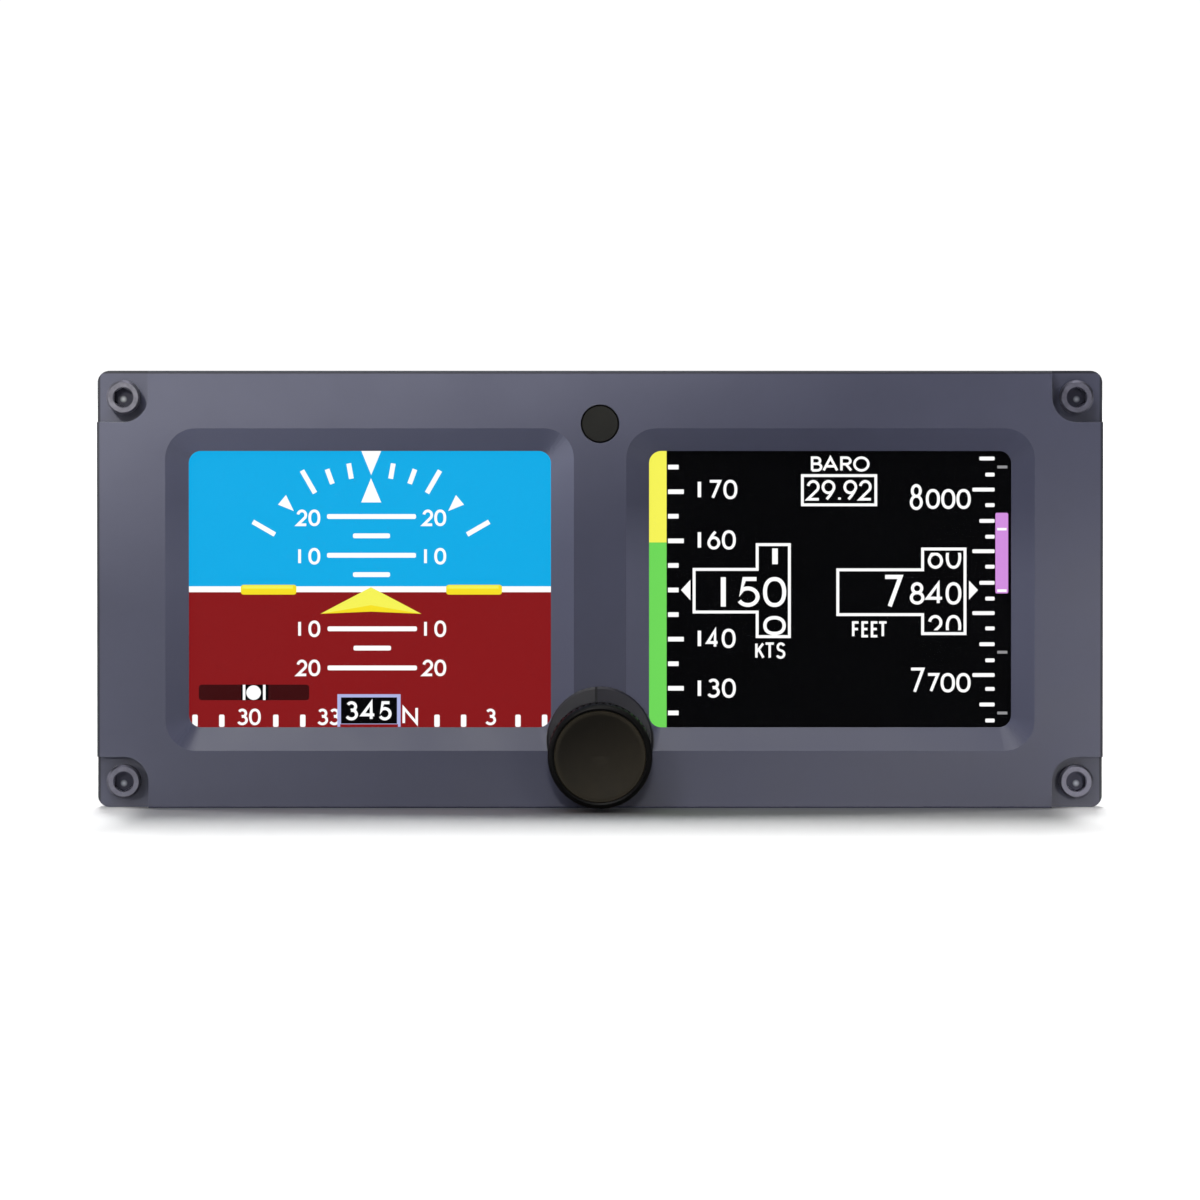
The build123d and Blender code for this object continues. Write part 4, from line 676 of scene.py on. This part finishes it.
# rolling digits of the airspeed, then their window's frame
right.rect("white", 772.2, 548.4, 777.8, 564.2)
right.glyph("white", "0", 763.2, 616.0, 785.8, 635.2, 3.4)
right.text("white", (("5", 737.2, 760.0), ("0", 763.0, 786.2)), 577.0, 607.0, 4.0)
right.rect("white", 720.8, 577.2, 725.8, 606.6)
right.line("white", [(694.1, 569.4), (757.2, 569.4), (757.2, 544.6), (789.4, 544.6), (789.4, 636.6), (757.2, 636.6),
                     (757.2, 612.0), (694.1, 612.0)], 2.9, True)
right.poly("white", [(681.0, 590.0), (690.4, 579.8), (690.4, 600.2)])
right.text("white", (("K", 755.2, 764.6), ("T", 764.4, 775.0), ("S", 775.8, 785.8)), 642.4, 658.8, 2.4)
right.text("white", (("B", 810.9, 822.4), ("A", 822.4, 838.4), ("R", 840.2, 852.4), ("O", 853.2, 869.6)),
           456.4, 471.6, 2.5)
right.line("white", [(802.4, 475.6), (875.8, 475.6), (875.8, 504.8), (802.4, 504.8)], 2.8, True)
right.text("white", (("2", 806.4, 820.2), ("9", 821.6, 835.4), (".", 838.2, 840.8), ("9", 843.4, 857.2), ("2", 858.6, 872.2)),
           480.0, 500.6, 2.7)
right.glyph("white", "8", 909.8, 484.0, 922.8, 510.0, 2.9)
right.text("white", (("0", 925.8, 940.0), ("0", 941.2, 955.4), ("0", 956.4, 970.8)), 489.0, 509.0, 2.9)
right.glyph("white", "7", 909.6, 667.6, 924.4, 693.2, 2.9)
right.text("white", (("7", 926.6, 939.2), ("0", 940.6, 955.0), ("0", 956.2, 970.6)), 673.0, 692.4, 2.9)
# rolling digits of the altitude: the neighbours first, then their cut-offs
right.text("white", (("6", 927.8, 943.0), ("0", 945.8, 961.2)), 545.0, 568.8, 2.9)
right.rect("black", 915.0, 540.0, 972.0, 552.8)
right.text("white", (("2", 927.8, 943.0), ("0", 945.8, 961.2)), 615.0, 638.0, 2.9)
right.rect("black", 915.0, 630.2, 972.0, 642.0)
right.glyph("white", "7", 883.0, 574.8, 902.6, 608.4, 4.2)
right.text("white", (("8", 909.8, 924.4), ("4", 925.8, 943.6), ("0", 945.6, 961.4)), 582.2, 604.6, 3.1)
right.line("white", [(837.8, 569.8), (922.6, 569.8), (922.6, 549.0), (965.0, 549.0), (965.0, 633.6), (922.6, 633.6),
                     (922.6, 614.6), (837.8, 614.6)], 2.9, True)
right.text("white", (("F", 852.0, 859.8), ("E", 861.4, 869.2), ("E", 870.8, 878.6), ("T", 877.8, 887.8)), 621.2, 637.4, 2.5)
right.poly("white", [(978.0, 590.0), (969.0, 580.6), (969.0, 599.6)])
for ys, x0 in (((489.6, 551.2, 613.1, 675.0), 972.4), ((458.5, 520.9, 582.8, 644.2, 704.5), 979.4),
               ((474.6, 505.1, 536.7, 566.7, 598.6, 628.4, 660.3, 688.9, 720.5), 985.3)):
    for y in ys:
        right.round_rect("white", x0, y - 1.9, 994.6, y + 1.9, 1.0, 3)
for y in (467.0, 652.2, 713.0):
    right.rect("grey", 997.3, y - 1.4, 1007.3, y + 1.4)
right.round_rect("magenta", 995.4, 512.8, 1008.2, 593.4, 1.6, 4)
right.rect("white", 997.2, 527.9, 1006.6, 530.4)
right.rect("white", 997.2, 589.3, 1006.6, 592.0)
right_film = right.build("display_picture_right", INK, FILM_T)
for film in (left_film, right_film):
    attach(film, "root")

# ---------------------------------------------------------------- floor, light, camera
floor_me = bpy.data.meshes.new("floor")
bm = bmesh.new()
bmesh.ops.create_grid(bm, x_segments=8, y_segments=8, size=6.0)
bm.to_mesh(floor_me)
bm.free()
floor = bpy.data.objects.new("floor", floor_me)
bpy.context.scene.collection.objects.link(floor)
floor.location.z = cad_box[0][2] - 0.00002
floor_me.materials.append(surface("pale_floor", (0.88, 0.88, 0.88), 0.7, grain=1.2, bump=0.05, mottle=90.0, shade=0.01, spec=0.2))

world = bpy.data.worlds.new("studio")
bpy.context.scene.world = world
world.use_nodes = True
wn = world.node_tree
bg = wn.nodes["Background"]
bg.inputs["Color"].default_value = (1.0, 1.0, 1.0, 1.0)
bg.inputs["Strength"].default_value = 0.155
white_bg = wn.nodes.new("ShaderNodeBackground")
white_bg.inputs["Color"].default_value = (1.0, 1.0, 1.0, 1.0)
white_bg.inputs["Strength"].default_value = 1.05
path = wn.nodes.new("ShaderNodeLightPath")
mixw = wn.nodes.new("ShaderNodeMixShader")
wn.links.new(path.outputs["Is Camera Ray"], mixw.inputs[0])
wn.links.new(bg.outputs[0], mixw.inputs[1])
wn.links.new(white_bg.outputs[0], mixw.inputs[2])
wn.links.new(mixw.outputs[0], wn.nodes["World Output"].inputs["Surface"])

# the floor has a broad light of its own, and the lamps on the object leave it out
floor_only = bpy.data.collections.new("floor_only")
floor_only.objects.link(floor)
all_but_floor = bpy.data.collections.new("all_but_floor")
all_but_floor.objects.link(floor)
all_but_floor.collection_objects[0].light_linking.link_state = "EXCLUDE"


def lamp(name, kind, at, to, power, size=0.2, size_y=None, rgb=(1.0, 1.0, 1.0), cone=None, oval=1.0,
         blend=1.0, roll=0.0):
    ld = bpy.data.lights.new(name, kind)
    ld.energy = power
    ld.color = rgb
    if kind == "AREA":
        ld.shape = "RECTANGLE" if size_y else "SQUARE"
        ld.size = size
        if size_y:
            ld.size_y = size_y
    if kind == "SPOT":
        ld.spot_size = math.radians(cone)
        ld.spot_blend = blend
        ld.shadow_soft_size = size
    o = bpy.data.objects.new(name, ld)
    bpy.context.scene.collection.objects.link(o)
    o.location = at
    turn = Quaternion((0.0, 0.0, 1.0), math.radians(roll))
    o.rotation_euler = ((Vector(to) - Vector(at)).to_track_quat("-Z", "Y") @ turn).to_euler()
    o.scale = (1.0, oval, 1.0)
    o.visible_camera = False
    o.light_linking.receiver_collection = floor_only if kind == "SUN" else all_but_floor
    return o


for i, (x, t, share) in enumerate(((-1.15, 0.65, 0.10), (1.15, 0.65, 0.10), (0.0, 0.42, 0.16), (0.0, 0.65, 0.16),
                                   (0.0, 0.92, 0.16), (0.0, 1.20, 0.16), (0.0, 1.45, 0.16))):
    sun = lamp("floor_light_%d" % (i + 1), "SUN", (x, t, 1.0), (0.0, 0.0, 0.0), 3.48 * share * math.hypot(1.0, x, t))
    sun.data.angle = math.radians(16)
for side, x in (("left", -0.0677), ("right", 0.0677)):
    lamp("floor_end_%s" % side, "SPOT", (x, FACE_Y - 0.516, 0.0317), (x, FACE_Y - 0.018, -0.03035), 36.0, 0.002,
         cone=1.21).light_linking.receiver_collection = floor_only
lamp("key", "AREA", (-0.33, -1.10, 0.33), (0.0, 0.0, 0.0), 2.1, 0.16)
lamp("top_left_pool", "SPOT", (-0.22, -0.50, 0.26), (-0.043, FACE_Y, 0.034), 17.4, 0.012, cone=19, oval=0.24,
     blend=0.7, roll=17.0, rgb=(1.0, 0.97, 0.78))
lamp("left_pool", "SPOT", (-0.30, -0.50, 0.05), (-0.078, FACE_Y, -0.017), 4.6, 0.012, cone=11, rgb=(1.0, 0.98, 0.82))
lamp("right_pool", "SPOT", (0.20, -0.60, 0.02), (0.085, FACE_Y, -0.038), 4.9, 0.012, cone=21, oval=0.54,
     rgb=(1.0, 0.975, 0.90))
lamp("upper_right_pool", "SPOT", (0.25, -0.60, 0.12), (0.074, FACE_Y, 0.024), 2.2, 0.012, cone=8, rgb=(1.0, 0.98, 0.95))
lamp("bottom_pool", "SPOT", (0.0, -0.60, 0.06), (-0.010, FACE_Y, -0.036), 2.6, 0.012, cone=19, oval=0.20)
lamp("high_front", "AREA", (-0.16, -0.45, 0.75), (0.0, 0.0, 0.0), 5.4, 0.45)
lamp("top", "AREA", (0.1, 0.15, 0.9), (0.0, 0.05, 0.0), 3.0, 0.5)
lamp("back_fill", "AREA", (0.5, 1.0, 0.5), (0.0, 0.05, 0.0), 9.0, 0.6)
lamp("side_left", "AREA", (-1.0, 0.3, 0.3), (0.0, 0.05, 0.0), 4.0, 0.5)

cam = bpy.data.cameras.new("camera")
cam.sensor_width = 36.0
cam.lens = 36.0 * AWAY / (1200 * PIXEL)
cam.clip_start = 0.05
cam.clip_end = 60.0
camera = bpy.data.objects.new("camera", cam)
bpy.context.scene.collection.objects.link(camera)
camera.location = CAM
camera.rotation_euler = (math.radians(90) - TILT, 0.0, 0.0)
bpy.context.scene.camera = camera
bpy.context.scene.view_settings.view_transform = "Standard"
